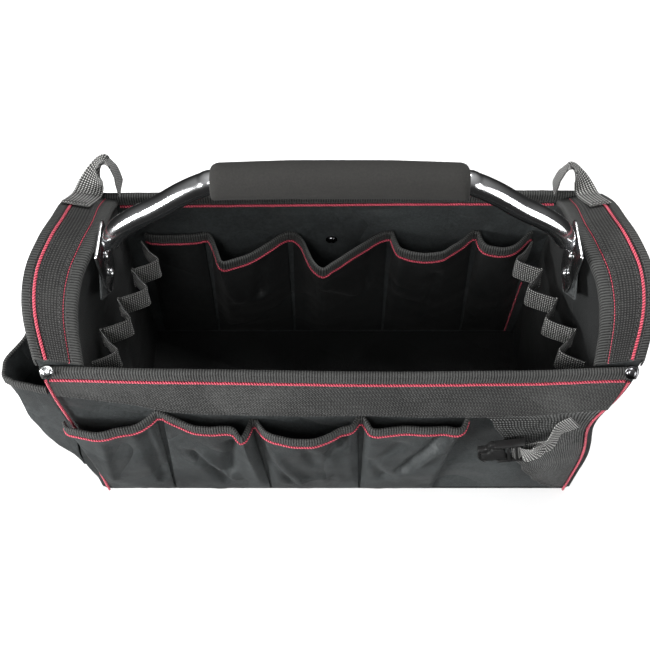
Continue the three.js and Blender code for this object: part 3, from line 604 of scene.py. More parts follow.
def stud(name, centre, axis, radius, height, look, stands_for=()):
    up = axis.normalized()
    side = up.cross(V(0, 1, 0) if abs(up.x) > 0.9 else V(1, 0, 0)).normalized()
    other = up.cross(side)
    profile = [(0.9, 0), (1, 0.1), (1, 0.22), (0.93, 0.3), (0.84, 0.32), (0.8, 0.45), (0.72, 0.68),
               (0.55, 0.88), (0.3, 0.97), (0.08, 1)]
    rings = [[centre + up * (h * height) + side * (r * radius * cos(a)) + other * (r * radius * sin(a))
              for a in spread(31, 0, 2 * pi * 31 / 32)] for r, h in profile]
    return loft(name, rings, look, stands_for, 50)


def stitches(name, path, normals, long=2.6, pitch=4.0, thick=0.7, look="thread"):
    """A row of separate threads laid along a path."""
    total = lengths(path)
    points, faces, uvs = [], [], []
    for n in range(int(total[-1] / pitch)):
        s = (n + 0.5) * pitch
        k = 0
        while k + 2 < len(path) and s > total[k + 1]:
            k += 1
        t = (s - total[k]) / max(1e-9, total[k + 1] - total[k])
        centre = path[k].lerp(path[k + 1], t)
        along = (path[k + 1] - path[k]).normalized()
        up = normals[k].normalized()
        side = along.cross(up).normalized()
        start = len(points)
        for a, r in ((-0.5, 0.35), (-0.3, 1), (0.3, 1), (0.5, 0.35)):
            for c, d in ((-1, -0.6), (1, -0.6), (0.7, 0.8), (-0.7, 0.8)):
                place = centre + along * (a * long)
                points.append(place + side * (c * r * thick / 2) + up * (d * r * thick / 2))
                uvs.append((a * long, c))
        for i in range(3):
            for j in range(4):
                k1 = (j + 1) % 4
                faces.append((start + i * 4 + j, start + i * 4 + k1, start + (i + 1) * 4 + k1,
                              start + (i + 1) * 4 + j))
        faces.append((start + 3, start + 2, start + 1, start))
        faces.append((start + 12, start + 13, start + 14, start + 15))
    return make(name, points, faces, uvs, look)


# ---- base
def base():
    reach_x, reach_y, r = BASE_LENGTH / 2 - 6, HALF_DEPTH - 6, 6
    outline = []
    for n, (sx, sy) in enumerate(((1, 1), (-1, 1), (-1, -1), (1, -1))):
        for t in spread(6):
            a = (n + t) * pi / 2
            outline.append((sx * reach_x + r * cos(a), sy * reach_y + r * sin(a)))
    rings = []
    for inset, z in ((1.2, 0), (0.3, 0.5), (0, 1.4), (0, 3.8), (0.4, 4.6), (1.4, 5)):
        rings.append([V(x * (1 - inset / BASE_LENGTH * 2), y * (1 - inset / HALF_DEPTH), z)
                      for x, y in outline])
    # the floor inside the bag gets the darker cloth as painted shade
    loft("base_cloth", rings, "shaded_cloth", ("base_panel",))


# ---- front and back walls
def long_wall(name, face, inward, front, node, look):
    start = BASE_THICK + GAP
    def at(t, v, inset):
        level = mix(start, WALL_HEIGHT, v)
        x = place_x(mix(-1, 1, t), level, front)
        z = mix(start, rim_at(x, front), v)
        ripple = 0.9 * bump((x, 0, z), 55, 3.1 if front else 7.7) * sin(pi * clamp(v)) * sin(pi * t)
        return V(x, face(x, z) + inward * (inset + ripple), z)
    us, vs = spread(110), spread(44)
    sheet(name, grid(at, us, vs, 0), grid(at, us, vs, CLOTH), look, (node,))


# ---- padded end walls
def end_wall(name, side, node):
    ys = spread(56, -RIM_REACH, RIM_REACH)
    vs = spread(40)
    wide = lambda y, v: y * mix((HALF_DEPTH - CLOTH - GAP) / RIM_REACH, 1, smooth(clamp((v - 0.7) / 0.18)))
    def outer(y, v):
        z = mix(BASE_THICK + GAP, arch_top(y), v)
        y = wide(y, v)
        swell = 1.2 * bump((y, z, side), 48, 1.7) * sin(pi * v) - 2.5 * (abs(y) / HALF_DEPTH) ** 24
        return V(side * (outer_end(y, z) + swell_at(side, z) - dent_share(side, y) * dent_at(z) + swell), y,
                 z)
    def inner(y, v):
        z = mix(BASE_THICK + GAP, rim_inner(side, y).z, v)
        y = wide(y, v)
        swell = 1.6 * (bump((y, z, side), 40, 5.2) - 0.3) * sin(pi * v)
        return V(side * (inner_end(y, z) - swell), y, z)
    obj = sheet(name, [[outer(y, v) for v in vs] for y in ys], [[inner(y, v) for v in vs] for y in ys],
                "woven_cloth", (node,), declare=None)
    # the inward faces of the end pad get the darker cloth as painted shade
    shade_inward_faces(obj, V(-side, 0, 0))


# ---- trims of the rims
def rim_trims(side, word):
    ys = spread(84, -RIM_REACH, RIM_REACH)
    def band(y, lift):
        overhang = 1.2 if lift else -0.1
        a, b = rim_point(side, y, RIM_BAND_INSET, 0), rim_point(side, y, overhang - RIM_BAND_INSET, 0)
        normal = rim_normal(side, y)
        row = []
        for s in spread(12):
            puff = 0.7 * (1 - (2 * s - 1) ** 2) * (0.6 + 0.8 * bump((y, s * 30, side), 30, 2.2))
            row.append(a.lerp(b, s) + normal * (GAP + lift + puff * (lift > 0)))
        return row
    sheet(f"{word}_rim_band", [band(y, BAND) for y in ys], [band(y, 0) for y in ys], "rim_webbing",
          (f"{word}_rim_webbing",))
    outer_at, inner_at = RIM_TAPE_WIDTH + PIPING + GAP + 0.3, -RIM_BAND_INSET + INNER_PIPING + GAP
    for distance, place, radius in ((outer_at, "outer", PIPING), (inner_at, "inner", INNER_PIPING)):
        path = [rim_point(side, y, distance, GAP + radius + 0.1) for y in ys]
        cord(f"{word}_rim_{place}_cord", path, radius, "red_piping", (f"{word}_rim_{place}_piping",))
    for outward, place, hang in ((1, "outer", 10), (-1, "inner", 6)):
        rings = []
        for y in ys:
            zero = 0 if outward > 0 else RIM_INNER_EDGE
            edge, top = rim_point(side, y, zero, GAP), rim_point(side, y, zero, GAP + TAPE)
            across = rim_across(side, y) * outward
            pull = 0.35 * bump((y, outward, side), 7, 4.4)
            away = V(side * outward, 0, 0)
            corner = V(edge.x + side * outward * (GAP + TAPE), y,
                       top.z if outward > 0 else edge.z + TAPE * 0.4)
            rounded = top.lerp(corner, 0.6)
            wide = RIM_TAPE_WIDTH if outward > 0 else RIM_BAND_INSET - 2 * INNER_PIPING - 2 * GAP
            ring = [edge + across * wide, edge + across * 2, edge + away * GAP,
                    edge + away * GAP - V(0, 0, hang * 0.5), edge + away * GAP - V(0, 0, hang),
                    edge + away * (GAP + TAPE * 0.6) - V(0, 0, hang + 0.3),
                    edge + away * (GAP + TAPE + pull) - V(0, 0, hang - 0.4),
                    edge + away * (GAP + TAPE + 0.3 + pull) - V(0, 0, hang * 0.5),
                    edge + away * (GAP + TAPE + 0.1) - V(0, 0, 0.8), rounded + V(0, 0, 0.2),
                    top + across * 0.8 + V(0, 0, 0.2), top + across * 3 + V(0, 0, 0.35 + pull),
                    top + across * (wide - 0.6), top + across * (wide + 0.1) - V(0, 0, 0.5)]
            rings.append(ring)
        loft(f"{word}_rim_{place}_tape", rings, "binding_tape", (f"{word}_rim_{place}_binding",), 70)
    for distance, tag in ((12.2, "a"), (-12.2, "b")):
        path = [rim_point(side, y, distance, GAP + BAND + 0.5) for y in ys]
        stitches(f"{word}_rim_stitches_{tag}", path, [rim_normal(side, y) for y in ys])
    for distance, tag in ((4.8, "c"), (-7, "d")):
        path = [rim_point(side, y, distance, GAP + TAPE + 0.75) for y in ys]
        stitches(f"{word}_tape_stitches_{tag}", path, [rim_normal(side, y) for y in ys])


# ---- tapes over the long edges
def edge_tape(name, face, inward, front, node):
    t, c = TAPE, CLOTH
    outline = [(-GAP, -TAPE_HEIGHT), (-GAP - t * 0.8, -TAPE_HEIGHT - 0.3), (-GAP - t, -TAPE_HEIGHT + 0.6),
               (-GAP - t - 0.2, -5), (-GAP - t, -0.6), (-GAP - t * 0.5, t * 0.8), (c * 0.3, GAP + t),
               (c * 0.7, GAP + t), (c + GAP + t * 0.5, t * 0.8), (c + GAP + t, -0.6),
               (c + GAP + t + 0.2, -5), (c + GAP + t, -TAPE_HEIGHT + 0.6),
               (c + GAP + t * 0.8, -TAPE_HEIGHT - 0.3), (c + GAP, -TAPE_HEIGHT), (c + GAP, GAP),
               (-GAP, GAP)]
    rings = []
    for s in spread(200, -1, 1):
        x = place_x(s, WALL_HEIGHT, front)
        wavy = 0.4 * bump((x, 0, 0), 9, 6.1)
        rings.append([V(x, face(x, WALL_HEIGHT) + inward * n, rim_at(x, front) + h + wavy * (h > -5))
                      for n, h in outline])
    loft(name, rings, "binding_tape", (node,), 70)
    for side, tag in ((-GAP - t - 0.3, "out"), (c + GAP + t + 0.3, "in")):
        path = [V(x, face(x, WALL_HEIGHT) + inward * side, rim_at(x, front) - TAPE_HEIGHT + 2)
                for x in spread(160, -238, 238)]
        up = V(0, -inward if tag == "out" else inward, 0)
        stitches(f"{name}_stitches_{tag}", path, [up] * len(path))


def edge_piping(name, face, offset, front, ends, node):
    path = []
    for x in spread(220, *ends):
        z = rim_at(x, front) - (TAPE_HEIGHT + PIPING + GAP) + 0.35 * bump((x, 3, 0), 14, 1.1)
        path.append(V(x, face(x, z) + offset, z))
    cord(name, path, PIPING, "red_piping", (node,))


def front_band():
    drop = TAPE_HEIGHT + 2 * PIPING + 2 * GAP
    def at(s, v, out):
        z = rim_at(s * RIM_LENGTH / 2, True) - drop - BAND_WIDTH * blend(BAND_REACH, s) * v
        x = s * (abs(cord_x(-1 if s < 0 else 1, z, True)) - CORNER_PIPING - 2 * GAP)
        lift = mix(GAP, read(BAND_HANG, s), v ** 1.2)
        ripple = 0.8 * bump((x, 0, z), 38, 9.3) * (1 - s ** 6) * (0.25 + v)
        return V(x, front_face(x, z) - lift - out - ripple, z + 0.7 * v * bump((x, 0, 0), 60, 2.9))
    ss, vs = spread(150, -1, 1), spread(18)
    sheet("front_band", grid(at, ss, vs, BAND), grid(at, ss, vs, 0),
          "webbing", ("front_webbing_band",))
    for v, tag in ((0.05, "top"), (0.94, "low")):
        path = [at(s, v, BAND + 0.2) for s in spread(150, -0.98, 0.98)]
        stitches(f"front_band_stitches_{tag}", path, [V(0, -1, 0)] * len(path))


def corner_cord(name, side_x, side_y, node):
    face = front_face if side_y < 0 else back_face
    path = []
    for z in spread(60, CORNER_PIPING + 1, WALL_HEIGHT - TAPE_HEIGHT - 4):
        x = cord_x(side_x, z, side_y < 0)
        path.append(V(x, face(x, z) + side_y * (CORNER_PIPING + GAP), z))
    cord(name, path, CORNER_PIPING, "red_piping", (node,), reference=V(0, 1, 0))


# ---- patch pockets
# rows: share of the half length at the mouth and at the foot
FRONT_SEAMS = [(-0.995, -0.925), (-0.64, -0.66), (-0.304, -0.266), (0.084, 0.095), (0.476, 0.398)]
INNER_SEAMS = [(-0.76, -0.772), (-0.512, -0.523), (-0.184, -0.183), (0.208, 0.212), (0.546, 0.564),
               (0.776, 0.772)]
# rows: share of the pocket's width, share of the row's reach, share of the play in height
FRONT_MOUTHS = [
    [(0, 0, -0.5), (0.04, 0.3, -0.3), (0.13, 0.5, 0), (0.3, 0.72, 0), (0.45, 0.76, 0), (0.6, 0.62, 0),
     (0.78, 0.42, 0), (0.92, 0.18, 0.5), (1, 0, 1)],
    [(0, 0, 1), (0.1, 0.12, 0.4), (0.22, 0.26, 0), (0.4, 0.48, 0), (0.55, 0.54, 0), (0.8, 0.52, 0),
     (0.85, 0.58, -0.3), (0.9, 0.74, -0.9), (0.95, 0.5, -0.9), (1, 0, -1)],
    [(0, 0, -1), (0.04, 0.3, -0.7), (0.1, 0.66, -0.3), (0.2, 0.92, 0), (0.44, 1.03, 0), (0.6, 0.97, 0),
     (0.72, 0.78, 0), (0.82, 0.55, 0), (0.93, 0.4, 0), (0.97, 0.2, 0), (1, 0, 0)],
    [(0, 0, 0), (0.03, 0.22, 0), (0.07, 0.5, 0), (0.19, 0.53, 0), (0.35, 0.46, 0), (0.6, 0.48, 0),
     (0.8, 0.44, 0), (0.9, 0.5, 0), (0.96, 0.38, 0.1), (1, 0, 0.6)],
]
INNER_MOUTHS = [[(0, 0, 0), (0.1, 0.07, 0), (0.5, 0.07, 0), (0.9, 0.04, 0), (1, 0, 0)],
                [(0, 0, 0), (0.06, 0.2, 0), (0.12, 0.48, 0), (0.18, 0.76, 0), (0.32, 0.74, 0),
                 (0.46, 0.66, 0), (0.6, 0.52, 0), (0.76, 0.3, 0), (0.9, 0.09, 0), (1, 0, 0)],
                [(0, 0, 0), (0.05, 0.07, 0), (0.12, 0.26, 0), (0.16, 0.5, 0), (0.22, 0.79, 0), (0.32, 1, 0),
                 (0.4, 0.87, 0), (0.48, 0.75, 0), (0.63, 0.5, 0), (0.76, 0.3, 0), (0.9, 0.08, 0),
                 (1, 0, 0)], [(0, 0, 0), (0.03, 0.22, 0), (0.07, 0.42, 0), (0.15, 0.5, 0), (0.27, 0.56, 0),
                              (0.45, 0.6, 0), (0.6, 0.56, 0), (0.74, 0.38, 0), (0.88, 0.2, 0),
                              (0.95, 0.07, 0), (1, 0, 0)], [(0, 0, 0), (0.04, 0.24, 0), (0.12, 0.38, 0),
                                                            (0.3, 0.46, 0), (0.5, 0.46, 0), (0.7, 0.34, 0),
                                                            (0.93, 0.05, 0), (1, 0, 0)], ]
# folds across the cloth: from x, z to x, z and the depth
FRONT_FOLDS = [(-128, 113, -98, 42, -1.6), (-136, 105, -108, 30, 2.2), (-95, 134, -107, 60, 2.6),
               (-83, 134, -72, 40, -2), (-66, 130, -34, 52, -1.8), (-72, 110, -44, 30, 2.4),
               (-46, 49, -7, 59, -1.4), (13, 155, -6, 118, 2.6), (106, 155, 76, 76, -2.2),
               (97, 109, 119, 155, -1.8), (98, 150, 62, 60, 2.4), (-215, 134, -223, 44, -1.4),
               (-167, 165, -158, 60, -2), (-176, 150, -172, 30, 2), (28, 91, 50, 40, 2),
               (60, 130, 20, 60, 1.2), (-30, 140, -20, 90, 1.2), ]
INNER_FOLDS = [(-113, 164, -100, 100, -2), (-10, 149, 24, 105, -2.4), (-73, 176, -80, 100, 2.4),
               (36, 200, 33, 105, 2), (63, 181, 63, 105, -2), (-25, 150, -30, 60, 2), (100, 150, 92, 60, 2)]
FRONT_ROW = {"floor": 7, "mouth": 164, "reach": 22, "face": front_face, "out": -1, "seed": 2.3,
             "seams": FRONT_SEAMS, "mouths": FRONT_MOUTHS, "folds": FRONT_FOLDS}
INNER_ROW = {"floor": 12, "mouth": 188, "reach": 45, "face": lambda x, z: back_face(x, z) - CLOTH,
             "out": -1, "seed": 8.9, "seams": INNER_SEAMS, "mouths": INNER_MOUTHS, "folds": INNER_FOLDS}
MOUTH_STEPS = sorted({round(v, 4) for v in spread(40)} | {0.01, 0.0375, 0.0625, 0.0875, 0.9125, 0.9375,
                                                          0.9625, 0.99})


def cover_lift(row, n, t, v):
    if row is not FRONT_ROW or n:
        return 0
    return (2 * CORNER_PIPING + 2 * GAP) * smooth(min(1, v / 0.3)) * (1 - t) ** 4


def pocket_point(row, n, t, v, out):
    z = mix(row["floor"], row["mouth"], v) + blend(row["mouths"][n], t, 2) * MOUTH_PLAY * v ** 3
    seam = mix(SEAM_FOOT, SEAM_HALF, v)
    left = RIM_LENGTH / 2 * mix(row["seams"][n][1], row["seams"][n][0], v) + seam
    right = RIM_LENGTH / 2 * mix(row["seams"][n + 1][1], row["seams"][n + 1][0], v) - seam
    x = mix(left, right, t)
    full = row["reach"] * max(0, blend(row["mouths"][n], t)) * v ** 0.85
    middle = clamp(6 * t * (1 - t))
    belly = 7 * middle * sin(pi * min(1, v * 1.25)) ** 1.2 if v < 0.8 else 0
    ripple = 0.8 * middle * bump((x, 50, z), 13, row["seed"]) + 1.6 * middle * bump((x, 10, z), 30,
            row["seed"])
    fold = -2.6 * crease(x, z, row["folds"], 6) * middle * smooth(clamp((1 - v) / 0.12))
    slack = 0.8 * middle * (v ** 3) * bump((x, 0, 0), 17, row["seed"] + 4)
    puff = full + 0.35 * belly + ripple + fold
    depth = GAP + max(0, puff) + cover_lift(row, n, t, v) + out
    return V(x, row["face"](x, z) + row["out"] * depth, z + slack)


def pockets(row, word):
    vs = [v ** 0.9 for v in spread(44)]
    count = len(row["mouths"])
    # the inner pockets get the darker cloth as painted shade
    look = "woven_cloth" if word == "front" else "shaded_cloth"
    for n in range(count):
        grid = lambda out: [[pocket_point(row, n, t, v, out) for v in vs] for t in MOUTH_STEPS]
        sheet(f"{word}_pocket_cloth_{n + 1}", grid(PANEL), grid(0), look, (f"{word}_pocket_{n + 1}",))
    line = [pocket_point(row, n, t, 1, PANEL / 2) for n in range(count) for t in MOUTH_STEPS]
    trim_mouth(word, line, row["out"], f"{word}_pocket_binding", f"{word}_pocket_piping")


def flat_normals(line, out):
    normals = []
    for along in directions(line):
        normal = V(along.y, -along.x, 0)
        normal = normal.normalized() if normal.length > 1e-6 else V(0, out, 0)
        normals.append(normal if normal.y * out >= 0 else -normal)
    return normals


def mouth_rings(line, normals):
    inside = PANEL / 2 + GAP
    outside = inside + TAPE * 0.8
    low = -POCKET_TAPE
    outline = [(inside, low), (outside - 0.4, low - 0.2), (outside, low + 0.8), (outside + 0.2, low / 2),
               (outside, -0.4), (outside - 0.5, GAP + TAPE * 0.8), (inside * 0.4, GAP + TAPE),
               (-PANEL / 2 + 0.3, GAP + TAPE * 0.8), (-PANEL / 2, GAP + 0.3), (0, GAP), (inside, GAP)]
    rings = []
    for p, normal in zip(line, normals):
        wavy = 0.35 * bump(p, 8, 3.3)
        rings.append([p + normal * n + V(0, 0, h + (wavy if h > low / 2 else 0)) for n, h in outline])
    return rings


def trim_mouth(word, line, out, tape_node, cord_node):
    normals = flat_normals(line, out)
    loft(f"{word}_mouth_tape", mouth_rings(line, normals), "binding_tape", (tape_node,), 70)
    drop = V(0, 0, -POCKET_TAPE - MOUTH_PIPING - GAP)
    away = PANEL / 2 + GAP + MOUTH_PIPING
    path = [p + n * away + drop for p, n in zip(line, normals)]
    cord(f"{word}_mouth_cord", path, MOUTH_PIPING, "red_piping", (cord_node,), sides=8)
    seam = [p + n * (PANEL / 2 + GAP + TAPE * 0.8 + 0.3) + V(0, 0, -POCKET_TAPE + 2) for p, n in zip(line,
            normals)]
    stitches(f"{word}_mouth_stitches", seam, normals, 2.2, 3.6, 0.6)


def inner_end_cord():
    """Piping down the right end of the inner pockets."""
    path = []
    for t in spread(16):
        z = mix(END_CORD_LOW, END_CORD_HIGH, t)
        x = mix(END_CORD_FOOT, END_CORD_HEAD, t)
        path.append(V(x, back_face(END_CORD_MIDDLE, z) - CLOTH - PANEL - 3 * GAP, z))
    cord("inner_end_cord", path, MOUTH_PIPING, "red_piping")


# ---- side pocket
def side_point(t, v, out):
    z = mix(SIDE_POCKET_FLOOR, SIDE_MOUTH + SIDE_MOUTH_SLOPE * t, v)
    y = mix(5 - HALF_DEPTH, SIDE_POCKET_BACK, t)
    reach = SIDE_POCKET_REACH * read(SIDE_REACH, t) * sin(pi / 2 * min(1, 2 * v)) ** 0.8
    wrinkle = 0.1 * reach * bump((0, y, z), 30, 6.6) + 0.8 * bump((9, y, z), 14, 3.6) * min(1, reach / 6)
    return V(-(outer_end(y, z) + swell_at(-1, z) + GAP + reach + out + max(-reach * 0.3, wrinkle)), y, z)


def side_pocket():
    ts = sorted({round(t, 4) for t in spread(40)} | {0.005, 0.012, 0.02, 0.035, 0.06, 0.08, 0.11, 0.14})
    vs = [v * v * 0.3 + v * 0.7 for v in spread(30)]
    grid = lambda out: [[side_point(t, v, out) for v in vs] for t in ts]
    sheet("side_pocket_cloth", grid(PANEL), grid(0), "woven_cloth", ("side_pocket",))
    line = [side_point(t, 1, PANEL / 2) for t in ts]
    normals = []
    for along in directions(line):
        normal = V(-abs(along.y), along.x, 0)
        normals.append(normal.normalized())
    loft("side_pocket_tape", mouth_rings(line, normals), "binding_tape", ("side_pocket_binding",), 70)


# ---- holster panel, buckle and strap
def holster():
    def at(t, v, out):
        z = mix(HOLSTER_FLOOR, HOLSTER_TOP, v)
        left = RIM_LENGTH / 2 * read(HOLSTER_EDGE, z / WALL_HEIGHT)
        x = mix(left, cord_x(1, z, True) - CORNER_PIPING - 2 * GAP, t)
        share = max(0, sin(pi * min(1, v / HOLSTER_FLAT)))
        lift = 2 * GAP + HOLSTER_BULGE * share ** 0.7 * (1 - t) ** 0.8
        wrinkle = 1.3 * share * bump((x, 0, z), 20, 5.5)
        return V(x, front_face(x, z) - lift - out - max(-0.3 * lift, wrinkle), z)
    ts, vs = spread(36), spread(50)
    sheet("holster_cloth", grid(at, ts, vs, PANEL), grid(at, ts, vs, 0),
          "mesh_cloth", ("holster_panel",))
    hem = [at(0.015, v, PANEL / 2) for v in spread(80, 0.01, 0.84)]
    cord("holster_hem", hem, 1.3, "binding_tape")
    for t, tag in ((0.06, "a"), (0.1, "b")):
        path = [at(t, v, PANEL + 0.3) for v in spread(60, 0.02, 0.84)]
        stitches(f"holster_stitches_{tag}", path, [V(0, -1, 0)] * len(path))


TILT = -0.2
BUCKLE_AT = V(150, -117, 134)
BUCKLE_ALONG = V(cos(TILT), 0, -sin(TILT))
BUCKLE_ACROSS = V(sin(TILT), 0, cos(TILT))


def buckle_point(a, b, out):
    return BUCKLE_AT + BUCKLE_ALONG * a + BUCKLE_ACROSS * b + V(0, -out, 0)


def plate(name, outline, low, high, place, look, stands_for=(), round_by=0.8):
    """Moulded plate from an outline, with rounded edges."""
    centre = (sum(a for a, _ in outline) / len(outline), sum(b for _, b in outline) / len(outline))
    def ring(shrink, h):
        out = []
        for a, b in outline:
            d = hypot(a - centre[0], b - centre[1]) or 1
            k = 1 - shrink / d
            out.append(place(centre[0] + (a - centre[0]) * k, centre[1] + (b - centre[1]) * k, h))
        return out
    r = min(round_by, (high - low) / 2.2)
    rings = [ring(r, low), ring(r * 0.3, low + r * 0.3), ring(0, low + r), ring(0, high - r),
             ring(r * 0.3, high - r * 0.3), ring(r, high)]
    return loft(name, rings, look, stands_for, 35)


def rounded(points, radius=2.0, steps=4):
    out = []
    n = len(points)
    for i in range(n):
        p0, p1, p2 = (Vector((*points[(i + d) % n], 0)) for d in (-1, 0, 1))
        a = p1 + (p0 - p1).normalized() * min(radius, (p0 - p1).length * 0.45)
        b = p1 + (p2 - p1).normalized() * min(radius, (p2 - p1).length * 0.45)
        for t in spread(steps):
            q = a.lerp(p1, t).lerp(p1.lerp(b, t), t)
            out.append((q.x, q.y))
    return out


def buckle():
    """Female half: two shells with cut-out sides over the mouth, then a frame with bars for the strap."""
    shell = rounded([(-22, -11), (-16, -15.5), (3, -15), (3, 15), (-10, 15.5), (-14, 8), (-22, 7)], 2.2)
    plate("buckle_body", shell, -4, 1.2, buckle_point, "buckle_plastic", ("side_release_buckle",))
    lid = rounded([(-20, -7.5), (-14, -10.5), (2, -10.5), (2, 10.5), (-9, 10.5), (-12, 5), (-20, 4.5)], 2.2)
    plate("buckle_lid", lid, 1.3, 4, buckle_point, "buckle_plastic")
    for low, high, top, tag in ((4.2, 7, 4.6, "a"), (11.6, 14.2, 4.2, "b"), (19.2, 22, 4.4, "c")):
        bar = rounded([(low, -14.5), (high, -14.5), (high, 14.5), (low, 14.5)], 1.2)
        plate(f"buckle_bar_{tag}", bar, -2.6, top, buckle_point, "buckle_plastic")
    for b, tag in ((-14.4, "low"), (14.4, "high")):
        rail = rounded([(-6, b - 1.5), (22, b - 1.5), (22, b + 1.5), (-6, b + 1.5)], 1.3)
        plate(f"buckle_rail_{tag}", rail, -3.6, 3.8, buckle_point, "buckle_plastic")
    lip = [buckle_point(-21.6 + 0.035 * b * b, b, 3.2) for b in spread(20, -12, 5)]
    cord("buckle_lip", lip, 1.1, "buckle_plastic")


def buckle_strap():
    end = 22
    key = [buckle_point(end - 13, 0, 0.2), buckle_point(end - 9, 0, 3.2), buckle_point(end - 5, 0, 0.6),
           buckle_point(end + 8, 0, 0), buckle_point(end + 20, 3, -2), buckle_point(end + 31, 12, -11),
           buckle_point(end + 45, 18, -14.4)]
    strap("buckle_webbing", dense(key, 80), BUCKLE_ACROSS, 24, STRAP, "loop_webbing", ("buckle_strap",),
          curl=0.4)
    tail = [buckle_point(17, 1, 2.6), buckle_point(20, 2, 5.8), buckle_point(26, 4, 6.2),
            buckle_point(31, 8, 5), buckle_point(34, 12, 2.6)]
    strap("buckle_strap_tail", dense(tail, 30), BUCKLE_ACROSS, 24, STRAP, "loop_webbing", curl=0.5)


# ---- webbing loops
CHAIN = [0, 1, 0.55, 0, 1, 0.55, 0, 1, 0.55, 0, 1, 0.5, 0]


def loop_chain(side, word):
    key = []
    for i, reach in enumerate(CHAIN):
        t = i / (len(CHAIN) - 1)
        y, z = mix(-78, 74, t), mix(214, 184, t)
        x = inner_end(y, z) - GAP - STRAP - 1.2 - 20 * reach - 14 * t * t
        key.append(V(side * x, y, z))
    path = []
    for k in range(0, len(key) - 1, 3):
        part = dense(key[k:k + 4], 24)
        path += part if not path else part[1:]
    strap(f"{word}_tool_loops", path, V(0, 0, 1), 25, STRAP, "loop_webbing", (f"{word}_loop_chain",),
          curl=0.3)
    for k in range(0, len(key), 3):
        foot = key[k] + V(-side * (STRAP / 2 + 0.5), 0, 0)
        line = [foot + V(0, 0.6, h) for h in spread(20, -10, 10)]
        stitches(f"{word}_loop_stitches_{k // 3 + 1}", line, [V(-side, 0, 0)] * len(line), 2, 2.8, 0.7)


# ---- back tabs
def back_tab(side, word, rise, lean, width):
    top = WALL_HEIGHT + TAPE + GAP
    lift = 2 * PIPING + 3 * GAP + STRAP
    middle = RIM_INSET / 2 - 4.5
    back = HALF_DEPTH + STRAP
    reach = lambda inset: side * (RIM_LENGTH / 2 - inset)
    key = [rim_point(side, RIM_REACH - 36, middle, lift), rim_point(side, RIM_REACH - 4, middle, lift),
           V(reach(28), back + lean, top + rise * 0.62), V(reach(38), back + 1.2 + lean, top + rise),
           V(reach(45), back + 1.2 + lean, top + rise * 0.66), V(reach(48), back + 1.2, top + 2)]
    slope = -rim_across(side, RIM_REACH - 20)
    edge_on = V(0, 0.75, -0.66)
    turns = [slope, slope, V(side * 0.5, 1, 0.1), edge_on, edge_on, V(0, 0.95, -0.3)]
    total = lengths(key)
    path = dense(key, 70)
    across = []
    for s in spread(70, 0, total[-1]):
        k = 0
        while k + 2 < len(key) and s > total[k + 1]:
            k += 1
        across.append(turns[k].lerp(turns[k + 1], (s - total[k]) / (total[k + 1] - total[k])))
    strap(f"{word}_tab_webbing", path, across, width, STRAP, "loop_webbing", (f"{word}_back_tab",), curl=0.3)
    for y, tag in ((RIM_REACH - 8, "a"), (RIM_REACH - 33, "b")):
        across_rim = spread(16, middle - width / 2 + 2, middle + width / 2 - 2)
        line = [rim_point(side, y, d, lift + STRAP / 2 + 0.4) for d in across_rim]
        stitches(f"{word}_tab_stitches_{tag}", line, [rim_normal(side, y)] * len(line), 2, 2.8, 0.7)


# ---- handle
def handle():
    far = inner_end(0, PATCH_HEIGHT) - 4 - 1.6 - GAP - 2.6 - 2.9
    line = [(a * far, HANDLE_FOOT + b * HANDLE_RISE) for a, b in HANDLE_SHAPE]
    key = [V(-x, 0, z) for x, z in line] + [V(x, 0, z) for x, z in reversed(line[:-1])]
    path = dense(key, 150)
    radii = [TUBE * mix(0.75, 1, smooth(clamp((far - abs(p.x)) / 12))) for p in path]
    cord("handle_bar", path, radii, "polished_steel", ("handle_tube",), 36, V(0, 1, 0))
    def centre(x):
        for (x0, z0), (x1, z1) in zip(line, line[1:]):
            if x1 <= abs(x):
                return V(x, 0, mix(z0, z1, (x0 - abs(x)) / (x0 - x1)))
        return V(x, 0, line[-1][1])
    half = GRIP_LENGTH / 2
    outer = [(-half, 0.8), (-half + 0.8, 0.89), (-half + 2.2, 0.96), (-half + 4.5, 0.995)]
    outer += [(x, 1 + 0.04 * cos(x / half * pi / 2)) for x in spread(40, -half + 7, half - 7)]
    outer += [(half - 4.5, 0.995), (half - 2.2, 0.96), (half - 0.8, 0.89), (half, 0.8)]
    hole = [(x, (TUBE + 0.7) / GRIP) for x in spread(12, half, -half)]
    rings = []
    for x, r in outer + hole:
        c = centre(x)
        rings.append([c + V(0, r * GRIP * cos(a), r * GRIP * sin(a))
                      for a in spread(39, 0, 2 * pi * 39 / 40)])
    loft("grip_foam", rings, "foam", ("foam_grip",), 60, closed=True)


def bracket(side, word):
    wall = inner_end(0, PATCH_HEIGHT)
    place = lambda centre_z: lambda a, b, h: V(side * (wall - h), a, centre_z + b)
    s = 23
    diamond = [(x * 0.7071 - y * 0.7071, x * 0.7071 + y * 0.7071)
               for x, y in rounded([(-s, -s), (s, -s), (s, s), (-s, s)], 3)]
    plate(f"{word}_patch_cloth", diamond, 4, 5.6, place(PATCH_HEIGHT), "woven_cloth",
          (f"{word}_handle_patch",), 0.5)
    inset = [(a * 0.9, b * 0.9) for a, b in diamond]
    line = [place(PATCH_HEIGHT)(a, b, 6.0) for a, b in inset + inset[:1]]
    stitches(f"{word}_patch_stitches", dense(line, 120), [V(-side, 0, 0)] * 121, 2.2, 3.2, 0.6)
    low = 4 + 1.6 + GAP
    plate(f"{word}_bracket_plate",
          rounded([(-21, -12), (-13, -32), (13, -32), (21, -12), (21, 32), (-21, 32)], 5), low, low + 2.6,
          place(PATCH_HEIGHT + 14), "plated_steel", (f"{word}_handle_bracket",), 0.9)
    for n, z in enumerate((PATCH_HEIGHT - 4, PATCH_HEIGHT + 21), 1):
        stud(f"{word}_rivet_{n}", V(side * (wall - low - 2.6 - GAP), 0, z), V(-side, 0, 0), 4.6, 2.8,
             "plated_steel", (f"{word}_bracket_rivet_{n}",))


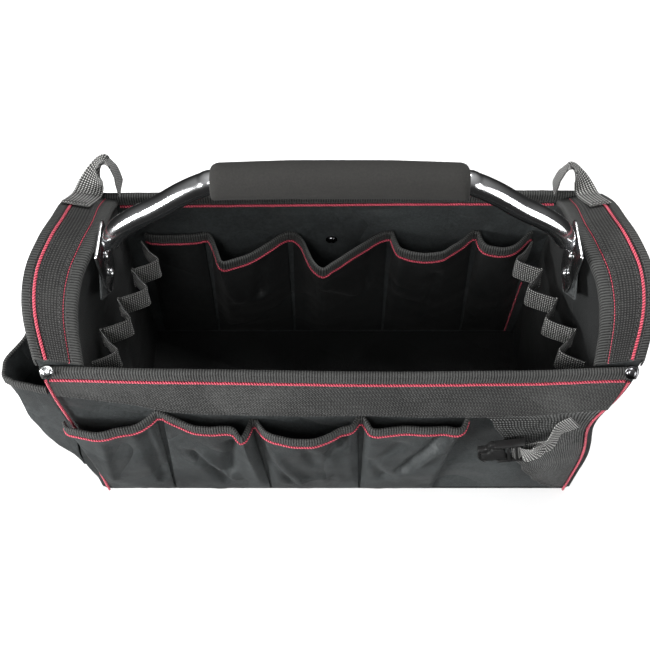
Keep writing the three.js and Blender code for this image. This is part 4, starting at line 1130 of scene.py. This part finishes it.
def snaps():
    front = -HALF_DEPTH - TAPE - 2 * GAP
    for side, word in ((-1, "left"), (1, "right")):
        x = side * (RIM_LENGTH / 2 - 8)
        level = rim_at(x, True) + TAPE + 2 * GAP
        # the right snap gets the darker metal as a painted dark reflection
        look = "plated_steel" if side < 0 else "shaded_steel"
        stud(f"{word}_snap_cap", V(x, front + front_face(x, WALL_HEIGHT) + HALF_DEPTH, level), V(0, -1, 1),
             SNAP, 3, look, (f"{word}_corner_snap",))
    # the snap inside the bag gets the darker metal as painted shade
    stud("wall_snap_cap", V(-5, back_face(-5, 176) - CLOTH - GAP, 176), V(0, -1, 0), SNAP, 3, "shaded_steel",
         ("inner_wall_snap",))


# ---- scene
FOCAL_PIXELS = 994
PICTURE_PIXELS = 650
SENSOR = 36
CAMERA_AT = (-0.01146, -0.5083, 0.9594)
CAMERA_DOWN = 57.4
# rows: name, place, size, power
LIGHTS = [
    ("left_panel", (-1.5, -0.75, 0.55), 0.5, 50),
    ("right_panel", (1.45, -0.95, 0.5), 0.9, 14),
    ("top", (0.3, 0.7, 1.9), 1.0, 40),
    ("front_top", (-0.5, -1.5, 1.8), 0.8, 26),
]
# rows: share of the height in the sky, brightness
SKY = [(0.0, 0.03), (0.3, 0.12), (0.75, 0.5), (0.9, 0.75)]


def studio():
    scene = bpy.context.scene
    scene.view_settings.view_transform = "Standard"
    bpy.ops.mesh.primitive_plane_add(size=12, location=(0, 0, -0.0005))
    floor = bpy.context.object
    floor.name = "floor"
    material, tree, shader = nodes_of("floor_paper")
    put(shader, "Roughness", 0.9)
    link(tree, ramp(tree, noise_node(tree, 3.0), [(0.0, (0.86, 0.86, 0.86)), (1.0, (0.9, 0.9, 0.9))]),
         shader.inputs["Base Color"])
    floor.data.materials.append(material)
    floor.visible_glossy = False
    world = bpy.data.worlds.new("studio") if scene.world is None else scene.world
    scene.world = world
    world.use_nodes = True
    sky = world.node_tree
    coordinates = sky.nodes.new("ShaderNodeTexCoord")
    split = sky.nodes.new("ShaderNodeSeparateXYZ")
    link(sky, coordinates.outputs["Generated"], split.inputs[0])
    level = ramp(sky, split.outputs[2], [(height, (grey, grey, grey)) for height, grey in SKY])
    link(sky, level, sky.nodes["Background"].inputs["Color"])
    put(sky.nodes["Background"], "Strength", 0.75)
    for name, place, size, power in LIGHTS:
        light = bpy.data.lights.new(name, "AREA")
        light.size = size
        light.energy = power
        obj = bpy.data.objects.new(name, light)
        scene.collection.objects.link(obj)
        obj.location = place
        obj.rotation_euler = (Vector((0, 0, 0.15)) - Vector(place)).to_track_quat("-Z", "Y").to_euler()
    camera = bpy.data.cameras.new("camera")
    camera.sensor_width = SENSOR
    camera.lens = SENSOR * FOCAL_PIXELS / PICTURE_PIXELS
    obj = bpy.data.objects.new("camera", camera)
    scene.collection.objects.link(obj)
    obj.location = CAMERA_AT
    obj.rotation_euler = (radians(90 - CAMERA_DOWN), 0, 0)
    scene.camera = obj


studio()
base()
long_wall("front_wall_cloth", front_face, 1, True, "front_wall", "woven_cloth")
long_wall("back_wall_cloth", back_face, -1, False, "back_wall", "woven_cloth")
for side, word in ((-1, "left"), (1, "right")):
    end_wall(f"{word}_end_pad", side, f"{word}_end_wall")
    rim_trims(side, word)
edge_tape("front_tape", front_face, 1, True, "front_rim_binding")
edge_tape("back_tape", back_face, -1, False, "back_rim_binding")
cord_level = WALL_HEIGHT - TAPE_HEIGHT - PIPING - GAP
cord_ends = [cord_x(side, cord_level, True) - side * (CORNER_PIPING + PIPING + GAP) for side in (-1, 1)]
back_end = RIM_LENGTH / 2 - RIM_INSET - RIM_DROP - 2
edge_piping("front_cord", front_face, -PIPING - GAP, True, cord_ends, "front_piping")
edge_piping("back_cord", back_face, -CLOTH - PIPING - GAP, False, (-back_end, back_end), "back_piping")
front_band()
for side_x, word_x in ((-1, "left"), (1, "right")):
    for side_y, word_y in ((-1, "front"), (1, "back")):
        corner_cord(f"{word_y}_{word_x}_corner_cord", side_x, side_y, f"{word_y}_{word_x}_corner_piping")
pockets(FRONT_ROW, "front")
pockets(INNER_ROW, "inner")
inner_end_cord()
side_pocket()
holster()
buckle()
buckle_strap()
loop_chain(-1, "left")
loop_chain(1, "right")
back_tab(-1, "left", LEFT_TAB_RISE, 3, TAB_WIDTH)
back_tab(1, "right", RIGHT_TAB_RISE, 0, TAB_WIDTH * 0.75)
handle()
bracket(-1, "left")
bracket(1, "right")
snaps()
